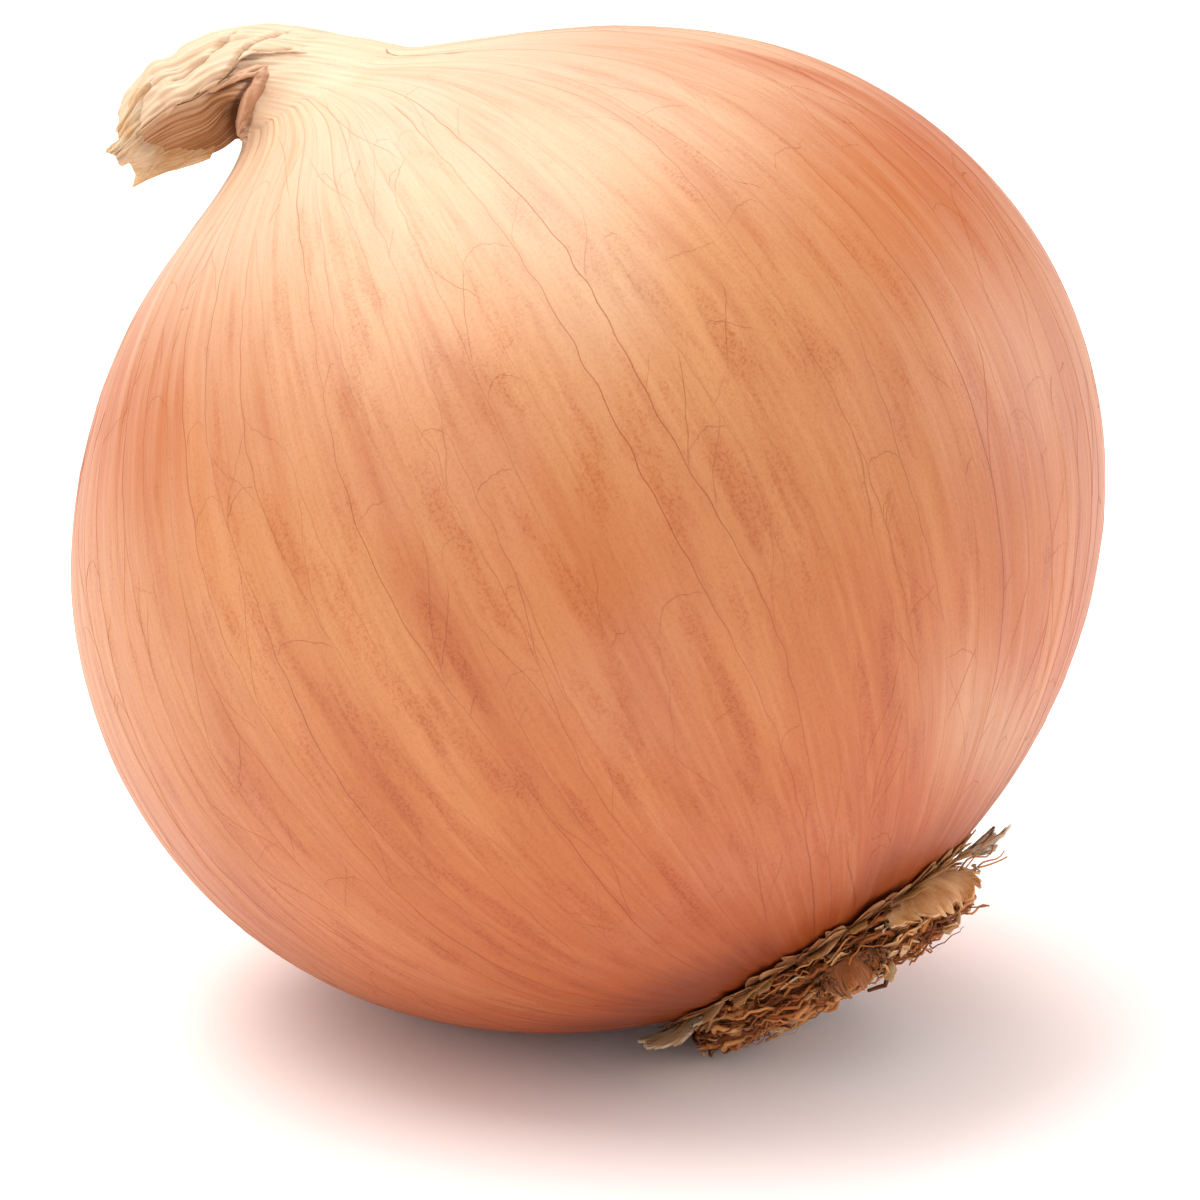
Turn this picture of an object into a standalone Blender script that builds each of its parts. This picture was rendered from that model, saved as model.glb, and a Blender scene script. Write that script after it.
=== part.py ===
"""A dry-skinned onion lying on its side, with its withered neck folded over and its mat of dried roots.

The bulb is modelled upright, about its own axis from the roots to the neck, with its middle at (0, 0, 0).
An empty then leans everything the way the onion lies, with the middle of its small flat spot on the ground
at the world's origin. Sizes are in metres.
"""

import math
import random

import bmesh
import bpy
from mathutils import Euler, Vector

MM = 0.001

# How the onion lies: its axis leans to the left and back
LEAN_LEFT = math.radians(28.6)
LEAN_BACK = math.radians(18.0)
FLAT_SPOT_DEPTH = 0.7 * MM

# Bulb: an ellipsoid of revolution with a flare at the neck and a flat seat for the roots
BULB_RADIUS = 40.0 * MM
BULB_HALF_HEIGHT = 36.75 * MM
ROOT_SEAT_Z = -35.3 * MM
FLARE_START_Z = 32.6 * MM
BULB_SIDES = 56
BULB_RINGS = 26
FLARE_RINGS = 7
LOBE_DEPTH = 0.006
# How far the middle of the bulb swings sideways, as (height, shift) pairs
SIDE_SHIFT = (
    (-37 * MM, -1.3 * MM),
    (-12 * MM, 0.0),
    (12 * MM, 0.7 * MM),
    (30 * MM, 0.7 * MM),
    (35.5 * MM, 0.2 * MM),
    (38 * MM, -1.3 * MM),
)

# Neck: it starts as a round stub and folds over to the left about a pinch
NECK_BASE_Z = 37.9 * MM
NECK_RADIUS = 7.2 * MM
PINCH = Vector((-8.9 * MM, 0.0, NECK_BASE_Z))
PINCH_GAP = 0.4 * MM
NECK_HEIGHT = 7.8 * MM
NECK_HALF_DEPTH = 4.6 * MM
BEND_RINGS = 9
BEND_SHRINK = math.radians(24)
# The folded stretch, as (x, lowest z, highest z, half depth)
NECK_STATIONS = (
    (-10.0 * MM, 38.1 * MM, 46.1 * MM, 4.6 * MM),
    (-11.6 * MM, 38.1 * MM, 46.2 * MM, 4.5 * MM),
    (-13.2 * MM, 38.3 * MM, 45.2 * MM, 4.2 * MM),
    (-14.7 * MM, 38.6 * MM, 44.2 * MM, 3.8 * MM),
    (-16.0 * MM, 38.8 * MM, 43.2 * MM, 3.3 * MM),
    (-16.9 * MM, 39.1 * MM, 42.6 * MM, 2.9 * MM),
)
NECK_MOUTH_DEPTH = 2.4 * MM
NECK_RAGGED = 0.75 * MM
NECK_SQUARENESS = 1.25
NECK_MOUTH_WIDTH = 0.72
NECK_MOUTH_FLOOR = 0.5
WRINKLES = 11
WRINKLE_DEPTH = 0.28 * MM
WRINKLE_START_Z = 30 * MM

# Root mat: a low bumpy core with curling roots laid over it
CLEARANCE = 0.35 * MM
FLOOR_CLEARANCE = 0.15 * MM
MAT_MIDDLE_X = 0.8 * MM
CORE_RADIUS = 10.2 * MM
CORE_SIDES = 22
CORE_DEPTH = 2.6 * MM
MAT_RADIUS = 12.0 * MM
MAT_DEPTH = 5.2 * MM
MAT_EDGE_RISE = 2.2 * MM
ROOT_COUNT = 54
ROOT_RADIUS = 0.42 * MM
ROOT_STEP = 1.9 * MM
ROOT_STEPS = 6
ROOT_TURN = math.radians(38)
GOLDEN_ANGLE = math.radians(137.508)
ROOT_SEED = 11
# Loose root ends past the mat's edge, as (x, y, z) of each start and end
LOOSE_ROOTS = (
    ((9.0, -2.6, -36.6), (15.6, -4.0, -34.9)),
    ((9.4, -0.5, -36.8), (16.2, -1.6, -36.2)),
    ((8.0, -1.6, -37.8), (13.2, -2.6, -39.0)),
    ((8.6, 3.6, -37.0), (14.0, 5.9, -36.4)),
    ((7.0, 6.2, -37.0), (11.0, 9.4, -36.8)),
    ((-0.6, 9.0, -37.0), (-1.4, 12.9, -36.4)),
)
LOOSE_ROOT_RADIUS = 0.32 * MM

# Husk flakes left round the mat, as (bearing, half width, inner radius, inner z, outer radius, outer z)
FLAKES = (
    (-163, 15, 12.8, -36.3, 16.0, -36.6),
    (-42, 19, 12.7, -35.9, 13.4, -39.0),
    (8, 9, 13.2, -35.4, 16.0, -34.7),
    (-84, 14, 12.7, -36.1, 13.2, -38.4),
    (72, 18, 12.7, -35.8, 13.6, -38.2),
)
FLAKE_THICKNESS = 0.6 * MM
FLAKE_BULGE = 0.5 * MM
FLAKE_ROWS = 5
FLAKE_COLUMNS = 8


def clear_scene():
    for old in list(bpy.data.objects):
        bpy.data.objects.remove(old, do_unlink=True)


def material(name, colour, roughness):
    made = bpy.data.materials.new(name)
    made.use_nodes = True
    shader = made.node_tree.nodes["Principled BSDF"]
    shader.inputs["Base Color"].default_value = (*colour, 1)
    shader.inputs["Roughness"].default_value = roughness
    shader.inputs["Metallic"].default_value = 0.0
    return made


def add_object(name, bm, surface, smooth_angle):
    mesh = bpy.data.meshes.new(name)
    bmesh.ops.recalc_face_normals(bm, faces=bm.faces[:])
    bm.to_mesh(mesh)
    bm.free()
    mesh.shade_smooth()
    mesh.set_sharp_from_angle(angle=smooth_angle)
    mesh.materials.append(surface)
    made = bpy.data.objects.new(name, mesh)
    bpy.context.scene.collection.objects.link(made)
    return made


def loft(bm, rings):
    """A closed tube through rings of points, with a flat face over each end."""
    loops = [[bm.verts.new(point) for point in ring] for ring in rings]
    for low, high in zip(loops, loops[1:]):
        for i, corner in enumerate(low):
            j = (i + 1) % len(low)
            bm.faces.new((corner, low[j], high[j], high[i]))
    bm.faces.new(reversed(loops[0]))
    bm.faces.new(loops[-1])


def eased(start, end, value):
    """0 before start, 1 after end, and smooth between them."""
    t = min(max((value - start) / (end - start), 0.0), 1.0)
    return t * t * (3 - 2 * t)


def side_shift(z):
    """The sideways shift at a height, smooth through the pairs of SIDE_SHIFT."""
    pairs = SIDE_SHIFT
    last = len(pairs) - 1
    if z <= pairs[0][0]:
        return pairs[0][1]
    if z >= pairs[last][0]:
        return pairs[last][1]
    k = next(i for i in range(last) if z <= pairs[i + 1][0])
    (z0, low), (z1, high) = pairs[k], pairs[k + 1]

    def slope(i):
        a, b = pairs[max(i - 1, 0)], pairs[min(i + 1, last)]
        return (b[1] - a[1]) / (b[0] - a[0])

    t = (z - z0) / (z1 - z0)
    rise = (z1 - z0) * (t * (1 - t) ** 2 * slope(k) - t * t * (1 - t) * slope(k + 1))
    return low + (high - low) * t * t * (3 - 2 * t) + rise


def bulb_profile():
    """(radius, z) from the root seat, round the ellipse and up the flare to the neck's base."""
    start = math.asin(ROOT_SEAT_Z / BULB_HALF_HEIGHT)
    end = math.asin(FLARE_START_Z / BULB_HALF_HEIGHT)
    turns = [start + (end - start) * i / BULB_RINGS for i in range(BULB_RINGS + 1)]
    profile = [(BULB_RADIUS * math.cos(t), BULB_HALF_HEIGHT * math.sin(t)) for t in turns]
    flare_from = Vector(profile[-1])
    flare_to = Vector((NECK_RADIUS, NECK_BASE_Z))
    handles = flare_from + Vector((-4.0, 1.9)) * MM, flare_to + Vector((1.3, -1.2)) * MM
    for i in range(1, FLARE_RINGS + 1):
        t = i / FLARE_RINGS
        weights = (1 - t) ** 3, 3 * t * (1 - t) ** 2, 3 * t * t * (1 - t), t**3
        corners = flare_from, *handles, flare_to
        profile.append(tuple(sum((w * c for w, c in zip(weights, corners)), Vector((0, 0)))))
    return profile


def wrinkle(angle, height):
    """The skin's pleats, which gather towards the neck."""
    waves = math.cos(WRINKLES * angle) + 0.6 * math.cos((WRINKLES + 6) * angle + 1.3)
    return WRINKLE_DEPTH * waves * eased(WRINKLE_START_Z, NECK_BASE_Z, height)


def bulb_ring(radius, z):
    ring = []
    for i in range(BULB_SIDES):
        angle = math.tau * i / BULB_SIDES
        lobes = math.cos(3 * angle + 0.6) + 0.6 * math.cos(5 * angle - 1.0)
        r = radius * (1 + LOBE_DEPTH * lobes) + wrinkle(angle, z) * 0.5 * (1 + math.cos(angle))
        ring.append(Vector((r * math.cos(angle) + side_shift(z), r * math.sin(angle), z)))
    return ring


def power(value, exponent):
    return math.copysign(abs(value) ** exponent, value)


def neck_ring(middle, across, half_width, half_depth, squareness, outset):
    """A pleated ring whose width runs along across and whose depth runs along Y."""
    ring = []
    for i in range(BULB_SIDES):
        angle = math.tau * i / BULB_SIDES
        pleats = wrinkle(angle, NECK_BASE_Z) * 0.5 * (1 + math.cos(angle))
        wide = (half_width + pleats) * power(math.cos(angle), squareness)
        deep = (half_depth + pleats) * power(math.sin(angle), squareness)
        ring.append(middle + across * wide + Vector((outset(angle), deep, 0)))
    return ring


def no_outset(angle):
    return 0.0


def ragged(angle):
    """How far the torn end of the neck runs out at this angle."""
    teeth = 0.6 * math.cos(5 * angle + 0.4) + 0.4 * math.cos(12 * angle) + 0.4 * math.cos(19 * angle + 2)
    return -NECK_RAGGED * teeth


def bend_rings():
    """The rings that fan out round the pinch, from flat to upright."""
    rings = []
    for i in range(1, BEND_RINGS + 1):
        bend = math.radians(90) * i / BEND_RINGS
        spread = 2 * NECK_RADIUS - NECK_HEIGHT
        reach = NECK_HEIGHT + spread * math.exp(-bend / BEND_SHRINK)
        across = Vector((math.cos(bend), 0, math.sin(bend)))
        done = eased(0, math.radians(75), bend)
        depth = NECK_RADIUS + (NECK_HALF_DEPTH - NECK_RADIUS) * done
        middle = PINCH + across * (PINCH_GAP + reach / 2)
        squareness = 1 + (NECK_SQUARENESS - 1) * done
        rings.append(neck_ring(middle, across, reach / 2, depth, squareness, no_outset))
    return rings


def folded_rings():
    """The folded stretch, its torn end and the shallow mouth inside it."""
    rings = []
    up = Vector((0, 0, 1))
    for x, low, high, depth in NECK_STATIONS:
        middle = Vector((x, 0, (low + high) / 2))
        torn = ragged if x == NECK_STATIONS[-1][0] else no_outset
        rings.append(neck_ring(middle, up, (high - low) / 2, depth, NECK_SQUARENESS, torn))
    half = (high - low) / 2
    lips = NECK_MOUTH_WIDTH
    rings.append(neck_ring(middle, up, half * lips, depth * lips, NECK_SQUARENESS, ragged))
    middle = middle + Vector((NECK_MOUTH_DEPTH, 0, 0))
    inside = NECK_MOUTH_FLOOR
    rings.append(neck_ring(middle, up, half * inside, depth * inside, NECK_SQUARENESS, no_outset))
    return rings


def lean():
    """The turn from the upright onion to the way it lies."""
    return Euler((-LEAN_BACK, -LEAN_LEFT, 0), "YXZ")


def upright(direction):
    """A direction of the world, seen in the upright onion's frame."""
    return lean().to_matrix().inverted() @ direction


def cut_flat_spot(bm):
    """Slices the skin off where the bulb touches the ground. Returns the middle of the flat spot."""
    down = upright(Vector((0, 0, -1)))
    lowest = max(down.dot(v.co) for v in bm.verts)
    cut = bmesh.ops.bisect_plane(
        bm,
        geom=bm.verts[:] + bm.edges[:] + bm.faces[:],
        plane_co=down * (lowest - FLAT_SPOT_DEPTH),
        plane_no=down,
        clear_outer=True,
    )
    rim = [item for item in cut["geom_cut"] if isinstance(item, bmesh.types.BMEdge)]
    bmesh.ops.edgeloop_fill(bm, edges=rim)
    corners = {v for edge in rim for v in edge.verts}
    return sum((v.co for v in corners), Vector()) / len(corners)


def make_bulb(surface):
    bm = bmesh.new()
    loft(bm, [bulb_ring(r, z) for r, z in bulb_profile()] + bend_rings() + folded_rings())
    spot = cut_flat_spot(bm)
    return add_object("bulb", bm, surface, math.radians(50)), spot


def ceiling(x, y):
    """The lowest height of the bulb above this point under it."""
    r = math.hypot(x - side_shift(ROOT_SEAT_Z), y)
    return max(ROOT_SEAT_Z, -BULB_HALF_HEIGHT * math.sqrt(1 - (r / BULB_RADIUS) ** 2))


def ground(x, y, spot):
    """The height, in the upright onion's frame, at which this point would reach the ground."""
    up = upright(Vector((0, 0, 1)))
    return (up.dot(spot) - up.x * x - up.y * y) / up.z


def mat_bottom(r):
    """The height of the mat's lower face, which rises towards its rim."""
    return ROOT_SEAT_Z - MAT_DEPTH + MAT_EDGE_RISE * (r / MAT_RADIUS) ** 2


def kept_clear(point, radius, spot):
    """The point moved clear of the bulb and the ground, or None where there is no room for it."""
    x, y, z = point
    top = ceiling(x, y) - CLEARANCE - radius
    low = ground(x, y, spot) + (FLOOR_CLEARANCE + radius) / upright(Vector((0, 0, 1))).z
    if low > top:
        return None
    return Vector((x, y, min(max(z, low), top)))


def root_path(index, draw, spot):
    """A root that leaves the core, wanders in its own layer of the mat and turns back at the rim."""
    bearing = index * GOLDEN_ANGLE
    r = CORE_RADIUS * 0.92 * math.sqrt((index + 0.5) / ROOT_COUNT)
    x, y = r * math.cos(bearing), r * math.sin(bearing)
    z = ROOT_SEAT_Z - CORE_DEPTH * 0.6
    heading = bearing + draw.uniform(-1.2, 1.2)
    turn = draw.choice((-1, 1)) * draw.uniform(0.4, 1.0) * ROOT_TURN
    layer = draw.uniform(0.5, 1.0)
    path = []
    for _ in range(ROOT_STEPS + 1):
        held = min(1.0, (MAT_RADIUS - ROOT_RADIUS) / math.hypot(x, y))
        x, y = x * held, y * held
        clear = kept_clear((x + MAT_MIDDLE_X, y, z), ROOT_RADIUS, spot)
        if clear is None:
            break
        path.append(clear)
        outward = math.hypot(x, y) > MAT_RADIUS - ROOT_STEP
        if outward and math.cos(heading - math.atan2(y, x)) > 0.1:
            turn = math.copysign(ROOT_TURN * 1.6, turn)
        heading += turn + draw.uniform(-0.35, 0.35)
        x += ROOT_STEP * math.cos(heading)
        y += ROOT_STEP * math.sin(heading)
        deep = ROOT_SEAT_Z + layer * (mat_bottom(math.hypot(x, y)) - ROOT_SEAT_Z)
        z += (deep - z) * 0.55 + draw.uniform(-0.3, 0.3) * MM
    return path


def loose_path(start, end, draw, spot):
    """A root end that sags and curls on its way out of the mat."""
    steps = 5
    path = []
    for i in range(steps + 1):
        t = i / steps
        point = (Vector(start).lerp(Vector(end), t)) * MM
        sway = math.sin(t * math.pi * 1.5) * 0.6 * MM
        point += Vector((0, sway, -sway * 0.6)) + Vector((0, 0, draw.uniform(-0.2, 0.2) * MM))
        clear = kept_clear(point, LOOSE_ROOT_RADIUS, spot)
        if clear is not None:
            path.append(clear)
    return path


def root_tube(path, radius, collection):
    """One root as a closed mesh of its own: a tapered curve with a square section, made a mesh."""
    curve = bpy.data.curves.new("root", "CURVE")
    curve.dimensions = "3D"
    curve.bevel_depth = radius
    curve.bevel_resolution = 0
    curve.use_fill_caps = True
    spline = curve.splines.new("POLY")
    spline.points.add(len(path) - 1)
    for i, point in enumerate(path):
        spline.points[i].co = (*point, 1)
        spline.points[i].radius = 1.0 - 0.45 * i / (len(path) - 1)
    guide = bpy.data.objects.new("root_guide", curve)
    bm = bmesh.new()
    bm.from_mesh(guide.to_mesh())
    guide.to_mesh_clear()
    bmesh.ops.remove_doubles(bm, verts=bm.verts[:], dist=0.001 * MM)
    bmesh.ops.recalc_face_normals(bm, faces=bm.faces[:])
    mesh = bpy.data.meshes.new("root")
    bm.to_mesh(mesh)
    bm.free()
    bpy.data.objects.remove(guide)
    collection.objects.link(bpy.data.objects.new("root", mesh))


def root_core():
    """The low lump under the root seat that every root grows from."""
    top = ROOT_SEAT_Z - CLEARANCE
    sections = ((0.9, 0.0), (1.0, 0.35), (0.93, 0.7), (0.7, 0.93), (0.35, 1.0))
    rings = []
    for scale, fall in sections:
        ring = []
        for i in range(CORE_SIDES):
            angle = math.tau * i / CORE_SIDES
            r = CORE_RADIUS * scale * (1 + 0.03 * math.cos(5 * angle))
            x = MAT_MIDDLE_X + r * math.cos(angle)
            ring.append(Vector((x, r * math.sin(angle), top - CORE_DEPTH * fall)))
        rings.append(ring)
    bm = bmesh.new()
    loft(bm, rings)
    return bm


def largest_island(bm):
    """Deletes every separate shell but the largest, so that sealed hollows are filled."""
    bmesh.ops.remove_doubles(bm, verts=bm.verts[:], dist=0.002 * MM)
    left = set(bm.verts)
    islands = []
    while left:
        island, edge_of = set(), [left.pop()]
        while edge_of:
            vert = edge_of.pop()
            island.add(vert)
            near = {edge.other_vert(vert) for edge in vert.link_edges} & left
            left -= near
            edge_of.extend(near)
        islands.append(island)
    largest = max(islands, key=len)
    scraps = [v for island in islands if island is not largest for v in island]
    bmesh.ops.delete(bm, geom=scraps, context="VERTS")


def make_root_mat(surface, spot):
    """The core and its roots, joined into one solid."""
    draw = random.Random(ROOT_SEED)
    roots = bpy.data.collections.new("roots")
    bpy.context.scene.collection.children.link(roots)
    for index in range(ROOT_COUNT):
        path = root_path(index, draw, spot)
        if len(path) > 2:
            root_tube(path, ROOT_RADIUS, roots)
    for start, end in LOOSE_ROOTS:
        root_tube(loose_path(start, end, draw, spot), LOOSE_ROOT_RADIUS, roots)
    core = add_object("root_mat", root_core(), surface, math.radians(40))
    union = core.modifiers.new("roots", "BOOLEAN")
    union.operation = "UNION"
    union.operand_type = "COLLECTION"
    union.collection = roots
    union.solver = "MANIFOLD"
    bpy.context.view_layer.update()
    joined = core.evaluated_get(bpy.context.evaluated_depsgraph_get())
    bm = bmesh.new()
    bm.from_mesh(joined.to_mesh())
    joined.to_mesh_clear()
    largest_island(bm)
    core.modifiers.remove(union)
    bm.to_mesh(core.data)
    bm.free()
    core.data.shade_smooth()
    core.data.set_sharp_from_angle(angle=math.radians(40))
    for root in list(roots.objects):
        bpy.data.objects.remove(root, do_unlink=True)
    bpy.data.collections.remove(roots)
    return core


def make_flake(number, flake, surface):
    """A curled scrap of dry skin, wider at its foot and torn at its free edge."""
    bearing, half_width, inner_r, inner_z, outer_r, outer_z = flake
    bm = bmesh.new()
    grid = bmesh.ops.create_grid(bm, x_segments=FLAKE_COLUMNS, y_segments=FLAKE_ROWS, size=1.0)
    for vert in grid["verts"]:
        across, along = vert.co.x, (vert.co.y + 1) / 2
        torn = 1 - 0.28 * math.sin(2.6 * across + number) ** 2 - 0.12 * math.cos(9 * across + number) ** 2
        along *= torn
        angle = math.radians(bearing + half_width * across * (1 - 0.3 * along))
        bulge = FLAKE_BULGE * math.sin(math.pi * along) * (1 - 0.4 * across * across)
        r = (inner_r + (outer_r - inner_r) * along) * MM + bulge
        z = (inner_z + (outer_z - inner_z) * along) * MM - bulge * 0.5
        vert.co = (MAT_MIDDLE_X + r * math.cos(angle), r * math.sin(angle), z)
    bmesh.ops.triangulate(bm, faces=bm.faces[:])
    made = add_object(f"husk_flake_{number}", bm, surface, math.radians(60))
    wall = made.modifiers.new("thickness", "SOLIDIFY")
    wall.thickness = FLAKE_THICKNESS
    wall.offset = 0
    return made


def main():
    clear_scene()
    skin = material("papery_skin", (0.62, 0.29, 0.11), 0.42)
    root = material("dry_root", (0.24, 0.11, 0.045), 0.85)
    husk = material("pale_husk", (0.66, 0.45, 0.26), 0.7)
    bulb, spot = make_bulb(skin)
    pieces = [bulb, make_root_mat(root, spot)]
    pieces += [make_flake(i + 1, flake, husk) for i, flake in enumerate(FLAKES)]
    lie = bpy.data.objects.new("lie", None)
    bpy.context.scene.collection.objects.link(lie)
    lie.rotation_mode = "YXZ"
    lie.rotation_euler = lean()
    lie.location = -(lean().to_matrix() @ spot)
    for piece in pieces:
        piece.parent = lie


main()
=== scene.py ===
"""A dry-skinned onion on its side: papery veined skin, a withered folded neck and a mat of roots."""

import math
import random

import bpy
import numpy as np
from mathutils import Euler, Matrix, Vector


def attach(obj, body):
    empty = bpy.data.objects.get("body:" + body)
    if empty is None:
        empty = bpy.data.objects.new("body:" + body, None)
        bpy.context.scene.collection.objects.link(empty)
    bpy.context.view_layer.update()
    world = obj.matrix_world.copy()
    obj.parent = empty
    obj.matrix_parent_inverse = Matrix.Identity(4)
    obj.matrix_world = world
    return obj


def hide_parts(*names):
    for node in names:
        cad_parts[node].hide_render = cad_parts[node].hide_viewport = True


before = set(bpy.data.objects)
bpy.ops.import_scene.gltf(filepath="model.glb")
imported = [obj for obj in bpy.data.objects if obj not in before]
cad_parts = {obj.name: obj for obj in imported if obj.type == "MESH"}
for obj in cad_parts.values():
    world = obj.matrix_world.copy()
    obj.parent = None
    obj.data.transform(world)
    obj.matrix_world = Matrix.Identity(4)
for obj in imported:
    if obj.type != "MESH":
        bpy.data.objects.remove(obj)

MM = 0.001
TAU = math.tau
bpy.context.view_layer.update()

# How the onion lies: it is shaped upright about its own axis, then leaned and set with its middle here
LEAN = Euler((math.radians(-18.0), math.radians(-28.6), 0), "YXZ").to_matrix()
MIDDLE = Vector((2.06, -0.94, 37.44)) * MM

# Skin
SKIN_COLUMNS = 400
SKIN_ROWS = 238
BULB_RADIUS = 40.0
BULB_HALF_HEIGHT = 36.75
ROOT_SEAT_Z = -35.3
FLARE_START_Z = 32.6
NECK_BASE_Z = 37.9
NECK_RADIUS = 7.2
PINCH_X = -8.9
PINCH_GAP = 0.4
NECK_HEIGHT = 7.8
NECK_HALF_DEPTH = 4.6
BEND_SHRINK = math.radians(24)
DEPTH_SHRINK = math.radians(18)
SIDE_SHIFT = ((-37, -1.3), (-12, 0.0), (12, 0.7), (30, 0.7), (35.5, 0.2), (38, -1.3))
# The folded neck, as (x, lowest z, highest z, half depth)
NECK_STATIONS = (
    (-10.0, 38.15, 46.1, 4.6),
    (-11.6, 38.35, 46.45, 4.5),
    (-13.2, 38.8, 45.8, 4.2),
    (-14.7, 39.2, 44.9, 3.8),
    (-16.0, 39.5, 43.9, 3.3),
    (-16.6, 39.7, 43.3, 2.9),
    (-18.4, 39.9, 42.4, 2.4),
)
NECK_END_X = -15.5
NECK_SQUARE = 1.25
FLARE_HANDLES = ((-4.0, 1.9), (1.3, -1.2))
SEAT_RADII = (0.0, 4.0, 8.0)
BULB_STEPS = 240
FLARE_STEPS = 40
BEND_STEPS = 60
STATION_STEPS = 30
TIP_ROWS = 20

# Directions round the upright onion: 0 is the image's right and -90 degrees faces the camera
RIM_TURN = math.radians(-108)
HOLLOW_TURN = math.radians(-136)
THROAT_TURN = math.radians(-95)
CREASE_TURN = -0.41

# The neck starts this much later at the rim, and its hollow lies this far past its start, in millimetres
RIM_DELAY = 6.2
HOLLOW_AFTER = 9
HOLLOW_HALF_LENGTH = 4.0
HOLLOW_HALF_TURN = 0.42

# How high or deep the skin's relief is, in millimetres
LOBE_HEIGHT = 0.24
SWELL_HEIGHT = 0.10
DENT_EASE = 0.07
BODY_INSET = 0.09
RIB_HEIGHT = 0.022
PLEAT_HEIGHT = 0.085
FOLD_HEIGHT = 0.05
CREASE_DEPTH = 0.12
WRINKLE_HEIGHT = 0.034
CROSSED_HEIGHT = 0.036
FURROW_DEPTH = 0.13
BUCKLE_HEIGHT = 0.11
HOLLOW_DEPTH = 1.4


def eased(start, end, value):
    """0 before start, 1 after end, and smooth between them."""
    t = np.clip((value - start) / (end - start), 0, 1)
    return t * t * (3 - 2 * t)


def through(pairs, value):
    """A smooth curve through (place, height) pairs."""
    x = np.array([p[0] for p in pairs], float)
    y = np.array([p[1] for p in pairs], float)
    slope = np.gradient(y, x)
    value = np.clip(value, x[0], x[-1])
    k = np.clip(np.searchsorted(x, value, side="right") - 1, 0, len(x) - 2)
    step = x[k + 1] - x[k]
    t = (value - x[k]) / step
    rise = step * (t * (1 - t) ** 2 * slope[k] - t * t * (1 - t) * slope[k + 1])
    return y[k] + (y[k + 1] - y[k]) * t * t * (3 - 2 * t) + rise


def ripple(turn, way, count, turns, runs, seed):
    """Smooth seamless noise of about unit height: waves with whole counts round and any count along."""
    draw = random.Random(seed)
    total = 0.0
    for _ in range(count):
        around = draw.randint(*turns)
        along = draw.uniform(*runs) * draw.choice((-1, 1))
        total = total + np.cos(around * turn + along * way + draw.uniform(0, TAU))
    return total / math.sqrt(count / 2)


def lie(points):
    """Points of the upright onion, in millimetres, as the onion lies, in metres."""
    return np.asarray(points, float) * MM @ np.array(LEAN).T + np.array(MIDDLE)


def side(z):
    """How far the middle of the body is off its axis at this height."""
    return float(through(SIDE_SHIFT, z))


def bulb_rows():
    """The profile of the body: the flat root seat, an ellipse, and the flare up to the neck."""
    start, end = (math.asin(z / BULB_HALF_HEIGHT) for z in (ROOT_SEAT_Z, FLARE_START_Z))
    profile = [(r, ROOT_SEAT_Z) for r in SEAT_RADII]
    for t in np.linspace(start, end, BULB_STEPS):
        profile.append((BULB_RADIUS * math.cos(t), BULB_HALF_HEIGHT * math.sin(t)))
    flare_from, flare_to = np.array(profile[-1]), np.array((NECK_RADIUS, NECK_BASE_Z))
    handles = flare_from + FLARE_HANDLES[0], flare_to + FLARE_HANDLES[1]
    for t in np.linspace(0, 1, FLARE_STEPS)[1:]:
        profile.append(
            (1 - t) ** 3 * flare_from
            + 3 * t * (1 - t) ** 2 * handles[0]
            + 3 * t * t * (1 - t) * handles[1]
            + t**3 * flare_to
        )
    return [(side(z), z, 0.0, r, r, 1.0) for r, z in profile]


def bend_rows():
    """The profile of the neck's bend, from upright on the body to folded over."""
    rows = []
    for bend in np.linspace(0, math.pi / 2, BEND_STEPS)[1:]:
        reach = NECK_HEIGHT + (2 * NECK_RADIUS - NECK_HEIGHT) * math.exp(-bend / BEND_SHRINK)
        depth = NECK_HALF_DEPTH + (NECK_RADIUS - NECK_HALF_DEPTH) * math.exp(-bend / DEPTH_SHRINK)
        square = 1 + (NECK_SQUARE - 1) * float(eased(0, math.radians(75), bend))
        out = PINCH_GAP + reach / 2
        x, z = PINCH_X + out * math.cos(bend), NECK_BASE_Z + out * math.sin(bend)
        rows.append((x, z, bend, reach / 2, depth, square))
    return rows


def station_rows(last):
    """The profile of the folded neck, from the last row of its bend to its tip."""
    first = (last[0], last[1] - last[3], last[1] + last[3], last[4])
    stations = (first, *NECK_STATIONS)
    rows = []
    for x in np.linspace(stations[0][0], stations[-1][0], STATION_STEPS)[1:]:
        low, high, depth = (through([(-s[0], s[i]) for s in stations], -x) for i in (1, 2, 3))
        rows.append((x, (low + high) / 2, math.pi / 2, (high - low) / 2, depth, NECK_SQUARE))
    return rows


def skin_rows():
    """The skin's profile: each row's middle, the direction of its width, half sizes and squareness."""
    bend = bend_rows()
    return np.array(bulb_rows() + bend + station_rows(bend[-1]))


ROWS = skin_rows()
# The way is the distance along the profile from the middle of the root seat, in millimetres
WAYS = np.concatenate([[0], np.cumsum(np.hypot(np.diff(ROWS[:, 0] + ROWS[:, 3]), np.diff(ROWS[:, 1])))])
NECK_WAY = float(WAYS[len(SEAT_RADII) + BULB_STEPS + FLARE_STEPS - 2])
END_WAY = float(np.interp(-NECK_END_X, -ROWS[-TIP_ROWS:, 0], WAYS[-TIP_ROWS:]))


def gap(turn, other):
    """The angle from other to turn, from -pi to pi."""
    return np.angle(np.exp(1j * (turn - other)))


def lines_of(noise_values, sharpness):
    """1 along the lines where the noise crosses 0, falling to 0 on both sides of them."""
    return 1 - np.clip(np.abs(noise_values) * sharpness, 0, 1)


def neck_start(turn):
    """The way at which the neck begins, which is later in front, behind the rolled rim."""
    return NECK_WAY - 1 + RIM_DELAY * np.exp(-((gap(turn, RIM_TURN) / 0.9) ** 2))


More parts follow.
